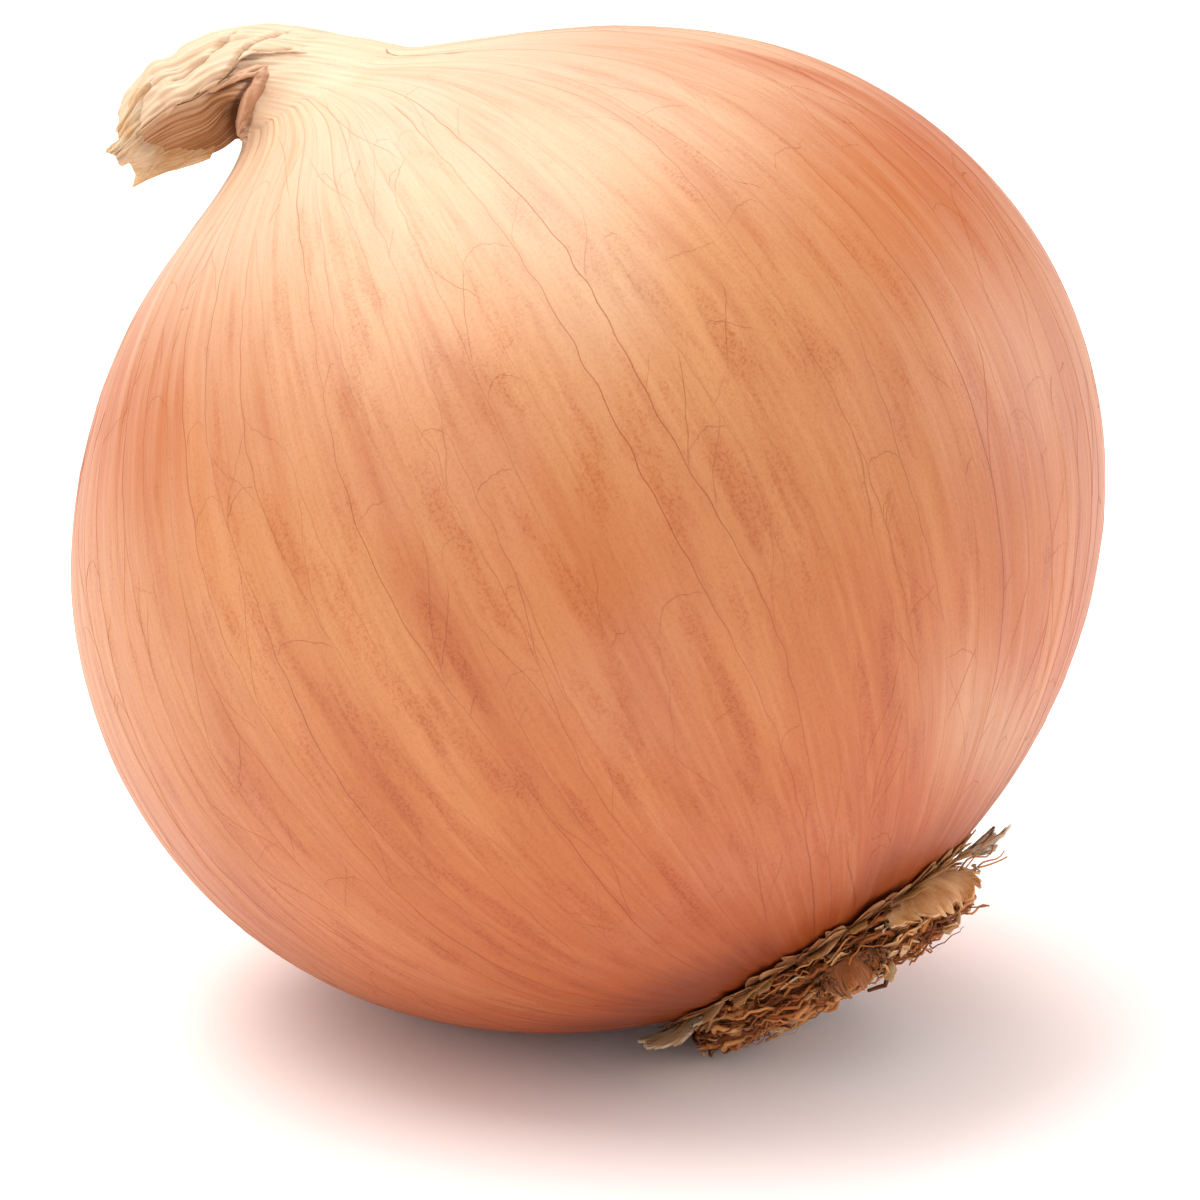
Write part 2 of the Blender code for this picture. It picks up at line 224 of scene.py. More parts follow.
def hollow(turn, way):
    """The dark hollow in the neck's side, under the rolled rim."""
    off = (gap(turn, HOLLOW_TURN) / HOLLOW_HALF_TURN) ** 2
    off = off + ((way - NECK_WAY - HOLLOW_AFTER) / HOLLOW_HALF_LENGTH) ** 2
    return -HOLLOW_DEPTH * eased(0, 5, way - neck_start(turn)) * np.exp(-off)


def body_relief(turn, way):
    """Soft lobes that only press in, so the body keeps to its outline, and faint ribs."""
    body = 1 - eased(NECK_WAY - 20, NECK_WAY - 4, way)
    lobes = LOBE_HEIGHT * (np.cos(3 * turn + 0.6) + 0.6 * np.cos(5 * turn - 1.0))
    lobes = lobes + SWELL_HEIGHT * ripple(turn, way, 8, (2, 7), (0.02, 0.09), 3)
    dents = -DENT_EASE * np.log(1 + np.exp(-lobes / DENT_EASE)) * body - BODY_INSET * body
    return dents + RIB_HEIGHT * ripple(turn, way, 14, (40, 90), (0.0, 0.03), 5)


def gathers(turn, way, on_neck):
    """Pleats, folds and creases that gather towards the neck, slighter on the throat in front."""
    to_neck = eased(NECK_WAY - 34, NECK_WAY, way)
    near = eased(NECK_WAY - 12, NECK_WAY - 1, way)
    pleats = PLEAT_HEIGHT * to_neck * ripple(turn, way, 10, (7, 20), (0.0, 0.03), 8)
    folds = FOLD_HEIGHT * near * ripple(turn, way, 10, (16, 40), (0.0, 0.06), 9)
    creases = -CREASE_DEPTH * near * lines_of(ripple(turn, way, 6, (4, 11), (0.0, 0.05), 12), 3)
    smooth = 0.8 * near * np.exp(-((gap(turn, THROAT_TURN) / 0.9) ** 4))
    return (pleats + folds + creases) * (1 - 0.75 * on_neck) * (1 - smooth)


def neck_relief(turn, way):
    """Wrinkles along and across the neck, its furrows and its broad buckles."""
    wrinkles = WRINKLE_HEIGHT * ripple(turn, way, 18, (24, 70), (0.0, 0.5), 14)
    crossed = CROSSED_HEIGHT * ripple(turn, way, 16, (4, 26), (0.9, 2.6), 18)
    furrows = -FURROW_DEPTH * lines_of(ripple(turn, way, 6, (3, 9), (0.05, 0.3), 15), 2.4)
    buckles = BUCKLE_HEIGHT * ripple(turn, way, 8, (2, 8), (0.3, 1.1), 16)
    return wrinkles + crossed + furrows + buckles


def relief(turn, way):
    """How far the skin stands out: lobes, ribs, pleats towards the neck, and the neck's wrinkles."""
    on_neck = eased(0, 5, way - neck_start(turn))
    pinched = 1 - on_neck * np.exp(-((gap(turn, math.pi) / 0.7) ** 2))
    folded = gathers(turn, way, on_neck) + on_neck * neck_relief(turn, way)
    return body_relief(turn, way) + folded * pinched + hollow(turn, way)


def on_skin(turn, way, lift=0.0, shrink=1.0):
    """Points of the upright onion's skin at these turns and ways, lifted off it or drawn inward."""
    turn, way = np.asarray(turn, float), np.asarray(way, float)
    mid_x, mid_z, across, wide, deep, square = (np.interp(way, WAYS, ROWS[:, i]) for i in range(6))
    out = relief(turn, way) * np.minimum(1, wide / 3) + lift
    c = np.copysign(np.abs(np.cos(turn)) ** square, np.cos(turn))
    s = np.copysign(np.abs(np.sin(turn)) ** square, np.sin(turn))
    slope_out = np.gradient(ROWS[:, 3], WAYS)
    tilt = np.interp(way, WAYS, np.clip(slope_out, -1, 1)) * eased(NECK_WAY + 3, NECK_WAY - 3, way)
    rise = -tilt * out
    flat = np.sqrt(np.clip(1 - tilt**2, 0.05, 1)) * out
    width = (wide + flat) * c * shrink
    x = mid_x + width * np.cos(across) - rise * np.sin(across)
    z = mid_z + width * np.sin(across) + rise * np.cos(across)
    return np.stack([x, (deep + flat) * s * shrink, z], -1)


def facing_grid():
    """A fine grid of turns, ways and points over the front of the neck and the throat."""
    turn, way = np.meshgrid(np.linspace(-math.pi, 0, 400), np.linspace(NECK_WAY - 30, WAYS[-1], 600))
    return turn.ravel(), way.ravel(), on_skin(turn.ravel(), way.ravel())


FACING = facing_grid()


def facing(x, z):
    """The turn and way of the point on the photographed side of the neck that is seen at x, z."""
    turn, way, points = FACING
    front = np.where(points[:, 1] < 0, 0, 100)
    k = int(np.argmin((points[:, 0] - x) ** 2 + (points[:, 2] - z) ** 2 + front + points[:, 1] * 0.01))
    return turn[k], way[k]


def settled(points):
    """Leaned points, with what would be under the ground pressed flat on it."""
    placed = lie(points)
    placed[..., 2] = np.maximum(placed[..., 2], 0.0)
    return placed


# Mesh tools


MERGE_DISTANCE = 0.002 * MM
LINE_SUNK = 0.03
LINE_PROUD = 0.022


def deselect():
    bpy.ops.object.select_all(action="DESELECT")


def select_only(made):
    deselect()
    made.select_set(True)
    bpy.context.view_layer.objects.active = made


def add_object(name, data):
    made = bpy.data.objects.new(name, data)
    bpy.context.scene.collection.objects.link(made)
    return made


def sheet_grid(name, columns, rows):
    """A flat grid from 0 to 1 each way, and the place of each of its points."""
    deselect()
    bpy.ops.mesh.primitive_grid_add(x_subdivisions=columns, y_subdivisions=rows, size=1)
    made = bpy.context.object
    made.name = made.data.name = name
    flat = np.empty(len(made.data.vertices) * 3)
    made.data.vertices.foreach_get("co", flat)
    flat = flat.reshape(-1, 3)[:, :2] + 0.5
    return made, flat[:, 0], flat[:, 1]


def set_points(made, points):
    made.data.vertices.foreach_set("co", np.ascontiguousarray(points, np.float32).ravel())
    made.data.update()


def add_numbers(made, name, kind, values):
    layer = made.data.attributes.new(name, kind, "POINT")
    layer.data.foreach_set("vector" if kind == "FLOAT_VECTOR" else "value", np.float32(values).ravel())


def mesh_of(name, points, faces):
    mesh = bpy.data.meshes.new(name)
    mesh.from_pydata(np.asarray(points).tolist(), [], faces)
    mesh.update()
    return add_object(name, mesh)


def finish_mesh(made, merge=0.0, outward=True):
    """Merges close points, turns the normals outward and shades the mesh smooth."""
    select_only(made)
    bpy.ops.object.mode_set(mode="EDIT")
    bpy.ops.mesh.select_all(action="SELECT")
    if merge:
        bpy.ops.mesh.remove_doubles(threshold=merge)
        bpy.ops.mesh.select_all(action="SELECT")
    if outward:
        bpy.ops.mesh.normals_make_consistent(inside=False)
    bpy.ops.object.mode_set(mode="OBJECT")
    bpy.ops.object.shade_smooth()
    deselect()


def fibre_of(turn, way):
    """Where a point lies in the skin's grain: round the onion and, in centimetres, from roots to neck."""
    return np.stack([np.cos(turn), np.sin(turn), way / 10], -1)


def strip_faces(start, rows):
    """The faces of a strip three points wide, given its first point's number and its count of rows."""
    corners = (start + 3 * i for i in range(rows - 1))
    return [face for a in corners for face in ((a, a + 1, a + 4, a + 3), (a + 1, a + 2, a + 5, a + 4))]


def skin_lines(paths, widths):
    """Thin raised lines on the skin, from paths of (turns, ways) and their (half widths, strengths)."""
    points, faces, fibres, strengths = [], [], [], []
    for (turn, way), (width, strength) in zip(paths, widths):
        base = on_skin(turn, way)
        normal = unit(on_skin(turn, way, 1.0) - base)
        across = unit(np.cross(np.gradient(base, axis=0), normal))
        edge = width[:, None] * across
        sunk, proud = -LINE_SUNK * normal, LINE_PROUD * (width / width.max())[:, None] * normal
        rows = np.stack([base - edge + sunk, base + proud, base + edge + sunk], 1)
        faces += strip_faces(sum(map(len, points)), len(turn))
        points.append(rows.reshape(-1, 3))
        fibres.append(np.repeat(fibre_of(turn, way), 3, axis=0))
        strengths.append(np.repeat(strength, 3))
    return np.concatenate(points), faces, np.concatenate(fibres), np.concatenate(strengths)


def unit(vectors):
    return vectors / np.maximum(np.linalg.norm(vectors, axis=-1, keepdims=True), 1e-9)


# A direction that no root runs along for long
SLANT = (0.31, 0.17, 0.93)


def tubes(paths, sides):
    """Tapered round fibres as one mesh. A path is (points, radii), in millimetres."""
    points, faces, ends = [], [], []
    start = 0
    for middle, radius in paths:
        along = unit(np.gradient(middle, axis=0))
        first = unit(np.cross(along, SLANT))
        second = np.cross(along, first)
        angle = np.linspace(0, TAU, sides, endpoint=False)
        cos, sin = np.cos(angle)[None, :, None], np.sin(angle)[None, :, None]
        ring = cos * first[:, None] + sin * second[:, None]
        points.append((middle[:, None] + radius[:, None, None] * ring).reshape(-1, 3))
        rows = len(middle)
        for i in range(rows - 1):
            for j in range(sides):
                a, b = start + i * sides + j, start + i * sides + (j + 1) % sides
                faces.append((a, b, b + sides, a + sides))
        faces.append(tuple(start + j for j in reversed(range(sides))))
        faces.append(tuple(start + (rows - 1) * sides + j for j in range(sides)))
        start += rows * sides
        ends.append(rows * sides)
    return np.concatenate(points), faces, ends


# Materials


class Wire:
    """A shader socket that Python's operators add Math nodes to."""

    tree = None

    def __init__(self, socket):
        self.socket = socket

    @classmethod
    def node(cls, kind, settings=(), outlet=0, **values):
        """Adds a node. Its settings are set first, then its sockets, given by name or as _number."""
        made = cls.tree.nodes.new(kind)
        for name, value in dict(settings).items():
            if name == "stops":
                cls.ramp(made.color_ramp, value)
            else:
                setattr(made, name, value)
        for name, value in values.items():
            key = int(name[1:]) if name[0] == "_" else name.replace("_", " ")
            cls.put(made.inputs[key], value)
        return cls(made.outputs[outlet])

    @classmethod
    def put(cls, socket, value):
        if isinstance(value, Wire):
            cls.tree.links.new(value.socket, socket)
        elif isinstance(value, tuple) and len(value) == 3 and socket.type == "RGBA":
            socket.default_value = (*value, 1)
        else:
            socket.default_value = value

    @staticmethod
    def ramp(ramp, stops):
        while len(ramp.elements) > 1:
            ramp.elements.remove(ramp.elements[-1])
        for i, (place, colour) in enumerate(stops):
            stop = ramp.elements[0] if i == 0 else ramp.elements.new(place)
            stop.position = place
            stop.color = (*colour, 1) if isinstance(colour, tuple) else (colour, colour, colour, 1)

    def math(self, operation, *others):
        inputs = {f"_{i + 1}": other for i, other in enumerate(others)}
        return Wire.node("ShaderNodeMath", {"operation": operation}, _0=self, **inputs)

    def __add__(self, other):
        return self.math("ADD", other)

    def __mul__(self, other):
        return self.math("MULTIPLY", other)

    def __sub__(self, other):
        return self.math("SUBTRACT", other)

    def __rsub__(self, other):
        return Wire.node("ShaderNodeMath", {"operation": "SUBTRACT"}, _0=other, _1=self)

    def __truediv__(self, other):
        return self.math("DIVIDE", other)

    __radd__, __rmul__ = __add__, __mul__

    def between(self, low, high):
        """0 below low, 1 above high, and smooth between them. With low above high it falls instead."""
        settings = {"interpolation_type": "SMOOTHSTEP"}
        return Wire.node("ShaderNodeMapRange", settings, Value=self, From_Min=low, From_Max=high)


def mixed(amount, first, second, blend="MIX"):
    """first where amount is 0 and second where it is 1, as colours."""
    settings = {"data_type": "RGBA", "blend_type": blend}
    return Wire.node("ShaderNodeMix", settings, outlet=2, _0=amount, _6=first, _7=second)


def stretched(vector, scale):
    settings = {"operation": "MULTIPLY"}
    return Wire.node("ShaderNodeVectorMath", settings, _0=vector, _1=scale)


def noise(vector, scale, detail=3.0, rough=0.5, twist=0.0):
    values = {"Vector": vector, "Scale": scale, "Detail": detail, "Roughness": rough, "Distortion": twist}
    return Wire.node("ShaderNodeTexNoise", (), **values)


def attribute(name, outlet="Fac"):
    return Wire.node("ShaderNodeAttribute", {"attribute_name": name}, outlet=outlet)


def part_of(vector, axis):
    return Wire.node("ShaderNodeSeparateXYZ", (), outlet=axis, Vector=vector)


def place_on_piece():
    return Wire.node("ShaderNodeTexCoord", (), outlet="Object")


def start_material(name):
    made = bpy.data.materials.new(name)
    made.use_nodes = True
    Wire.tree = made.node_tree
    return made, made.node_tree.nodes["Principled BSDF"]


def ramp(stops, place):
    return Wire.node("ShaderNodeValToRGB", {"stops": stops}, Fac=place)


def bump(height, strength, distance):
    return Wire.node("ShaderNodeBump", (), Height=height, Strength=strength, Distance=distance)


# The run of the skin's colour, from the roots to the neck; its pale upper stops are partly the straw skin
# and partly painted highlight
SKIN_RUN = (
    (0.15, (0.370, 0.070, 0.014)),
    (0.25, (0.420, 0.108, 0.030)),
    (0.42, (0.430, 0.140, 0.042)),
    (0.62, (0.500, 0.222, 0.090)),
    (0.76, (0.555, 0.328, 0.192)),
    (0.87, (0.600, 0.405, 0.275)),
    (1.00, (0.630, 0.440, 0.290)),
)


# Colours that are mixed into that run, and shades that it is multiplied by
STREAK_RED = (0.36, 0.085, 0.022)
STREAK_PALE = (0.62, 0.30, 0.13)
CLOUD_PINK = (0.46, 0.18, 0.105)
FIBRE_PALE = (0.72, 0.42, 0.21)
BAND_ORANGE = (0.36, 0.074, 0.006)
# Painted shade for the hollow under the neck's rolled rim
HOLLOW_PAINTED_SHADE = (0.105, 0.026, 0.006)
PATCH_SHADE = (0.80, 0.54, 0.36)
DOT_SHADE = (0.76, 0.50, 0.36)
GRAIN_SHADE = (0.74, 0.52, 0.40)
SEAT_SHADE = (0.44, 0.22, 0.15)
VEIN_SHADE = (0.69, 0.48, 0.36)
# The dry neck, dry roots and husk, from dark to pale
NECK_TONES = (
    (0.25, (0.110, 0.037, 0.010)),
    (0.45, (0.290, 0.112, 0.034)),
    (0.60, (0.480, 0.290, 0.165)),
    (0.78, (0.620, 0.450, 0.310)),
)
ROOT_TONES = (
    (0.0, (0.085, 0.017, 0.003)),
    (0.3, (0.210, 0.054, 0.011)),
    (0.6, (0.400, 0.128, 0.030)),
    (0.85, (0.580, 0.250, 0.078)),
    (1.0, (0.740, 0.440, 0.180)),
)
HUSK_TONES = (
    (0.25, (0.240, 0.064, 0.014)),
    (0.42, (0.460, 0.170, 0.050)),
    (0.56, (0.640, 0.330, 0.135)),
    (0.72, (0.760, 0.530, 0.320)),
    (0.85, (0.840, 0.680, 0.490)),
)
# How strong the streaks and the patches are, and how fine the dots are
STREAK_MIX = 0.55
PATCH_MIX = 0.38
DOT_SCALE = 4200.0


def skin_colour(fibre, way, place):
    """The skin's colour: straw at the neck, orange in the middle and redder at the roots, with painted
    shade round the root mat.
    """
    streaks = noise(stretched(fibre, (7.0, 7.0, 0.30)), 1.0, 3.0, 0.5)
    patches = noise(stretched(fibre, (17.0, 17.0, 1.0)), 1.0, 3.0, 0.55)
    fine = noise(stretched(fibre, (70.0, 70.0, 0.9)), 1.0, 3.0, 0.6)
    drift = noise(stretched(fibre, (3.2, 3.2, 0.45)), 1.0, 3.0, 0.5)
    cloudy = noise(place, 38.0, 3.0, 0.5)
    along = way + (drift - 0.5) * 1.6
    base = ramp(SKIN_RUN, along / (NECK_WAY / 10))
    body = way.between(NECK_WAY / 10 * 0.92, NECK_WAY / 10 * 0.60) * 0.75 + 0.25
    red = mixed(streaks.between(0.50, 0.72) * body * STREAK_MIX, base, STREAK_RED)
    pale = mixed(streaks.between(0.47, 0.30) * 0.22, red, STREAK_PALE)
    pink = mixed(cloudy.between(0.52, 0.74) * 0.35, pale, CLOUD_PINK)
    dark = patches.between(0.49, 0.68) * body
    toned = mixed(dark * PATCH_MIX, pink, PATCH_SHADE, "MULTIPLY")
    dots = noise(place, DOT_SCALE, 3.0, 0.75).between(0.46, 0.64) * (dark * 0.5 + body * 0.30)
    dotted = mixed(dots, toned, DOT_SHADE, "MULTIPLY")
    grained = mixed(fine.between(0.42, 0.70) * 0.26, dotted, GRAIN_SHADE, "MULTIPLY")
    # Darker and redder round the root mat: the redder skin there and painted shade
    seat = (way + (drift - 0.5) * 1.4).between(2.4, 1.45)
    seated = mixed(seat * 0.92, grained, SEAT_SHADE, "MULTIPLY")
    return mixed(fine.between(0.46, 0.28) * 0.06, seated, FIBRE_PALE)


def tinted(colour, fibre):
    """The colour with the dry neck, painted shade on its underside and in its hollow, and the orange
    spots, and how dry and orange it is.
    """
    tint = attribute("tint", "Vector")
    brown, dark, orange = (part_of(tint, i) for i in range(3))
    strands = noise(stretched(fibre, (26.0, 26.0, 0.5)), 1.0, 4.0, 0.65)
    # More brown gives a darker tone of the dry neck: painted shade on its underside
    dry = ramp(NECK_TONES, strands - brown * 0.36 + 0.34)
    colour = mixed(brown.between(0.0, 0.35) * 0.92, colour, dry)
    orange = orange * (strands * 1.3 + 0.30)
    colour = mixed(orange * 0.80, colour, BAND_ORANGE)
    # Painted shade in the hollow under the rim, along its free edge and in its groove
    return mixed(dark.between(0.05, 0.6) * 0.92, colour, HOLLOW_PAINTED_SHADE), brown, orange


def make_skin_material():
    """The papery skin with its veins: a soft gloss that fades towards the outline, and a fine grain."""
    made, shader = start_material("onion_skin")
    fibre = attribute("fibre", "Vector")
    way = part_of(fibre, 2)
    place = place_on_piece()
    colour = skin_colour(fibre, way, place)
    colour, dry, orange = tinted(colour, fibre)
    vein = attribute("vein")
    colour = mixed(vein, colour, VEIN_SHADE, "MULTIPLY")
    Wire.put(shader.inputs["Base Color"], colour)
    grain = noise(stretched(fibre, (150.0, 150.0, 1.2)), 1.0, 2.0, 0.6)
    crinkle = noise(place, 900.0, 4.0, 0.6)
    Wire.put(shader.inputs["Roughness"], grain * 0.16 + dry * 0.20 + 0.36)
    limb = Wire.node("ShaderNodeLayerWeight", (), outlet=1, Blend=0.5).between(0.35, 0.9)
    gloss = (1 - dry) * (0.34 - orange.between(0.0, 1.0) * 0.32)
    Wire.put(shader.inputs["Coat Weight"], gloss * (1 - limb * 0.9))
    height = grain * 0.6 + crinkle * 0.4
    Wire.put(shader.inputs["Normal"], bump(height, 0.22, 0.0002))
    shader.inputs["Specular IOR Level"].default_value = 0.30
    shader.inputs["Specular Tint"].default_value = (1.0, 0.86, 0.68, 1)
    shader.inputs["Coat Roughness"].default_value = 0.36
    return made


# The skin and its dry neck

TORN_DEPTH = 0.8


def torn(turn, seed, depth=TORN_DEPTH):
    """How far a torn edge runs out at each turn: broad tongues with sharp teeth on them."""
    broad = ripple(turn, 0 * turn, 5, (2, 6), (0, 1), seed)
    teeth = lines_of(ripple(turn, 0 * turn, 5, (9, 26), (0, 1), seed + 1), 1.6)
    return depth * (0.7 * broad + 0.9 * teeth - 0.4)


def beside(x, z, line):
    """How far each place is from a line of (x, z) points, and whether it lies on the line's right."""
    nearest, right = np.full(x.shape, 1e9), np.zeros(x.shape, bool)
    for (x0, z0), (x1, z1) in zip(line, line[1:]):
        dx, dz = x1 - x0, z1 - z0
        t = np.clip(((x - x0) * dx + (z - z0) * dz) / (dx * dx + dz * dz), 0, 1)
        off = np.hypot(x - x0 - t * dx, z - z0 - t * dz)
        closer = off < nearest
        nearest = np.where(closer, off, nearest)
        right = np.where(closer, dx * (z - z0) - dz * (x - x0) < 0, right)
    return nearest, right


# The rolled rim of the outer skin round the neck's hollow, as (x, z) seen from the photographed side:
# its free edge, and the line where it rises out of the skin
RIM_EDGE = (
    (-9.70, 42.07), (-8.35, 41.93), (-6.79, 41.84), (-5.55, 41.65), (-5.16, 41.40),
    (-5.67, 41.00), (-6.58, 40.52), (-7.36, 40.08), (-7.72, 39.61), (-7.98, 38.87),
    (-8.31, 37.88), (-8.63, 37.16),
)
RIM_FOOT = (
    (-8.79, 42.44), (-7.27, 42.59), (-6.00, 42.79), (-4.72, 42.36), (-3.76, 41.75),
    (-3.82, 41.06), (-4.55, 40.30), (-5.62, 39.72), (-6.56, 39.25), (-7.28, 38.57),
    (-7.89, 37.65), (-8.45, 36.89),
)


# Broad soft spots where the skin is more orange or more tan, as (x, z, half width, half height,
# strength); the last two tan spots are a painted highlight
ORANGE_SPOTS = (
    (36, 12, 11, 11, 1.15),
    (-26, 23, 11, 12, 0.95),
    (19, 30, 10, 6, 0.34),
    (0, -3, 8, 7, 0.48),
)
# A pale tan streak low on the right, then two pale spots that paint the highlight where it falls
TAN_AND_HIGHLIGHT_SPOTS = (
    (19, -27, 6, 8, 0.15),
    (9, 15, 6, 9, 0.10),
    (5, 25, 8, 7, 0.11),
)


# The orange band along the side crease: the height at which it lies at CREASE_TURN, its lean for each
# millimetre down from there, and its half widths behind and in front, all but the height as turns
CREASE_TOP = 24.3
CREASE_LEAN = 0.0145
BAND_HALF_TURNS = (0.035, 0.16)


def spots(x, z, places):
    """The strength of soft round spots at each place."""
    return sum(s * np.exp(-(((x - a) / w) ** 2) - ((z - b) / h) ** 2) for a, b, w, h, s in places)


def tints(points, turn, way):
    """How brown, dark and orange the skin is at each point, apart from its plain run of colour: brown is
    the dry neck, with painted shade towards its underside, and tan spots, two of them a painted
    highlight; dark is painted shade in the hollow under the rim.
    """
    x, y, z = points.T
    past = way - neck_start(turn)
    on_neck = eased(-1, 6, past)
    under = 0.5 - 0.5 * np.cos(turn)
    # The dry neck, darker towards its underside as painted shade, and the tan spots
    brown = on_neck * (0.25 + 0.75 * eased(0.35, 0.75, under)) + spots(x, z, TAN_AND_HIGHLIGHT_SPOTS) * (y < 0)
    # Painted shade: a dark line under the rim's free edge, wider low down
    off, right = beside(x, z, RIM_EDGE)
    reach = 0.35 + 1.15 * eased(41.6, 38.6, z)
    dark = np.exp(-((off / reach) ** 2)) * right * (y < 0) * eased(0, 3, past) * eased(-10.5, -7.0, x)
    off = gap(turn, CREASE_TURN + (CREASE_TOP - z) * CREASE_LEAN)
    band = np.exp(-((off / np.where(off > 0, *BAND_HALF_TURNS)) ** 2))
    band = band * eased(32, 22, z) * eased(-14, 0, z)
    orange = np.maximum(band, spots(x, z, ORANGE_SPOTS) + 0.35 * eased(-28, -33, z))
    return np.stack([brown, dark, orange], -1)


def dress(made, points, turn, way, surface, vein=0.0, tint=None, slot="skin"):
    """Gives a piece of skin its attributes, its material and its body."""
    tint = tints(points, turn, way) if tint is None else np.zeros((len(turn), 3)) + tint
    add_numbers(made, "fibre", "FLOAT_VECTOR", fibre_of(turn, way))
    add_numbers(made, "tint", "FLOAT_VECTOR", tint)
    add_numbers(made, "vein", "FLOAT", np.zeros(len(turn)) + vein)
    made.data.materials.append(surface)
    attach(made, "root")


# Places along the skin's sheet and their ways, up to the torn end and a little back inside it
SHEET_PLACES = (0.0, 0.02, 0.64, 0.955, 0.965, 1.0)
SHEET_WAYS = (0.0, 11.1, NECK_WAY - 6, END_WAY, END_WAY, END_WAY - 2.5)
# Where the sheet turns inward at that end, and its share of the neck's width there
LINING_PLACES = (0.0, 0.955, 0.965, 0.99, 1.0)
LINING_SHARES = (1.0, 1.0, 0.90, 0.75, 0.0)


def make_skin(surface):
    """The whole outer skin with its neck, as one sheet from the root seat to the torn tip."""
    made, u, v = sheet_grid("skin", SKIN_COLUMNS, SKIN_ROWS)
    turn = u * TAU
    edge = eased(0.93, 0.955, v) * eased(0.985, 0.965, v)
    way = np.interp(v, SHEET_PLACES, SHEET_WAYS) + torn(turn, 71) * edge
    shrink = np.interp(v, LINING_PLACES, LINING_SHARES)
    points = on_skin(turn, way, 0.0, shrink)
    set_points(made, settled(points))
    dress(made, points, turn, way, surface)
    finish_mesh(made, merge=MERGE_DISTANCE)
    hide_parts("bulb")


def seen(points):
    """The turns and ways of places given as x and z, seen from the photographed side."""
    return np.array([facing(x, z) for x, z in points]).T


def add_layer(made, points, turn, way, surface, thickness, pale=0.0, **dressing):
    """Finishes a torn layer over the neck, whose grid is laid at these places."""
    set_points(made, settled(points))
    dress(made, points, turn, way, surface, **dressing)
    add_numbers(made, "grain", "FLOAT_VECTOR", np.stack([turn * 2.4, way / 6, 0 * way], -1))
    add_numbers(made, "pale", "FLOAT", pale + 0 * turn)
    finish_mesh(made, outward=False)
    solidify(made, thickness * MM)


# The lower edge of the neck's upper layer, from the throat to the tip
FLAP_EDGE = (
    (-0.94, 41.06), (-2.85, 41.93), (-4.09, 42.61), (-5.65, 43.03), (-7.37, 42.36),
    (-8.45, 42.1), (-9.55, 42.27), (-10.82, 42.28), (-12.4, 42.0),
)
# The pale membrane over the torn tip: its inner edge and its ragged outer edge, from the top down
MEMBRANE_IN = (
    (-12.33, 44.73), (-13.02, 44.03), (-13.76, 43.00), (-14.32, 41.87), (-14.25, 40.94),
    (-13.33, 40.35), (-12.54, 39.83), (-11.39, 38.99), (-10.20, 38.60),
)
MEMBRANE_OUT = (
    (-12.60, 44.90), (-13.06, 44.85), (-14.12, 44.72), (-14.85, 43.95), (-15.64, 43.31),
    (-16.25, 43.02), (-16.45, 42.32), (-17.87, 42.11), (-17.28, 41.30), (-17.39, 40.60),
    (-16.61, 40.30), (-16.69, 39.59), (-17.38, 38.71), (-16.37, 39.02), (-15.21, 38.87),
    (-13.85, 38.40), (-12.68, 38.26), (-11.18, 38.05),
)
# Where the neck's upper layer is creased
FLAP_CREASES = (
    ((-5.71, 44.96), (-6.92, 44.55), (-8.41, 44.11), (-9.62, 43.87), (-10.74, 43.94)),
    ((-2.08, 43.43), (-3.55, 43.51), (-5.14, 43.39), (-6.25, 42.84), (-7.17, 42.45)),
    ((-5.14, 43.39), (-4.32, 42.77), (-3.16, 42.26), (-2.12, 41.88)),
)


def make_neck_flap(surface):
    """The upper layer of the neck, that rises out of the skin towards its free front edge."""
    made, u, v = sheet_grid("neck_flap", 150, 150)
    edge_turn, edge_way = seen(FLAP_EDGE)
    start, end = edge_way[0], edge_way[-1]
    way = start - 1.5 + (end + 2.5 - start) * v
    front = np.interp(way, edge_way, edge_turn) + 0.02 * ripple(way, 0 * way, 6, (1, 3), (0, 1), 91)
    back = math.radians(70)
    turn = back + (front - back) * u
    shown = eased(start - 1.5, start + 4.5, way) * eased(end + 1.0, end - 2.0, way)
    rough = 0.05 * ripple(turn, way, 10, (6, 30), (0.0, 0.6), 95)
    height = 0.8 * eased(0.35, 1.0, u) * shown - 0.3 + rough
    for crease in FLAP_CREASES:
        turns, ways = seen(crease)
        off, right = beside(turn * 5, way, list(zip(turns * 5, ways)))
        height = height - 0.28 * np.exp(-((off / 0.22) ** 2)) + 0.16 * np.exp(-((off / 0.7) ** 2)) * right
    add_layer(made, on_skin(turn, way, height), turn, way, surface, 0.16)


def between_lines(inner, outer, u, v):
    """Turns and ways between two lines that are given as (x, z): u runs across them and v along them."""
    sides = []
    for line in (inner, outer):
        at = np.linspace(0, 1, len(line))
        sides.append([np.interp(v, at, values) for values in seen(line)])
    return (first * (1 - u) + last * u for first, last in zip(*sides))


# The roll of the rim from its foot over its edge, as (share across, height)
RIM_PROFILE = ((0, -0.25), (0.2, -0.05), (0.5, 0.34), (0.8, 0.44), (1.0, 0.26), (1.14, -0.30))


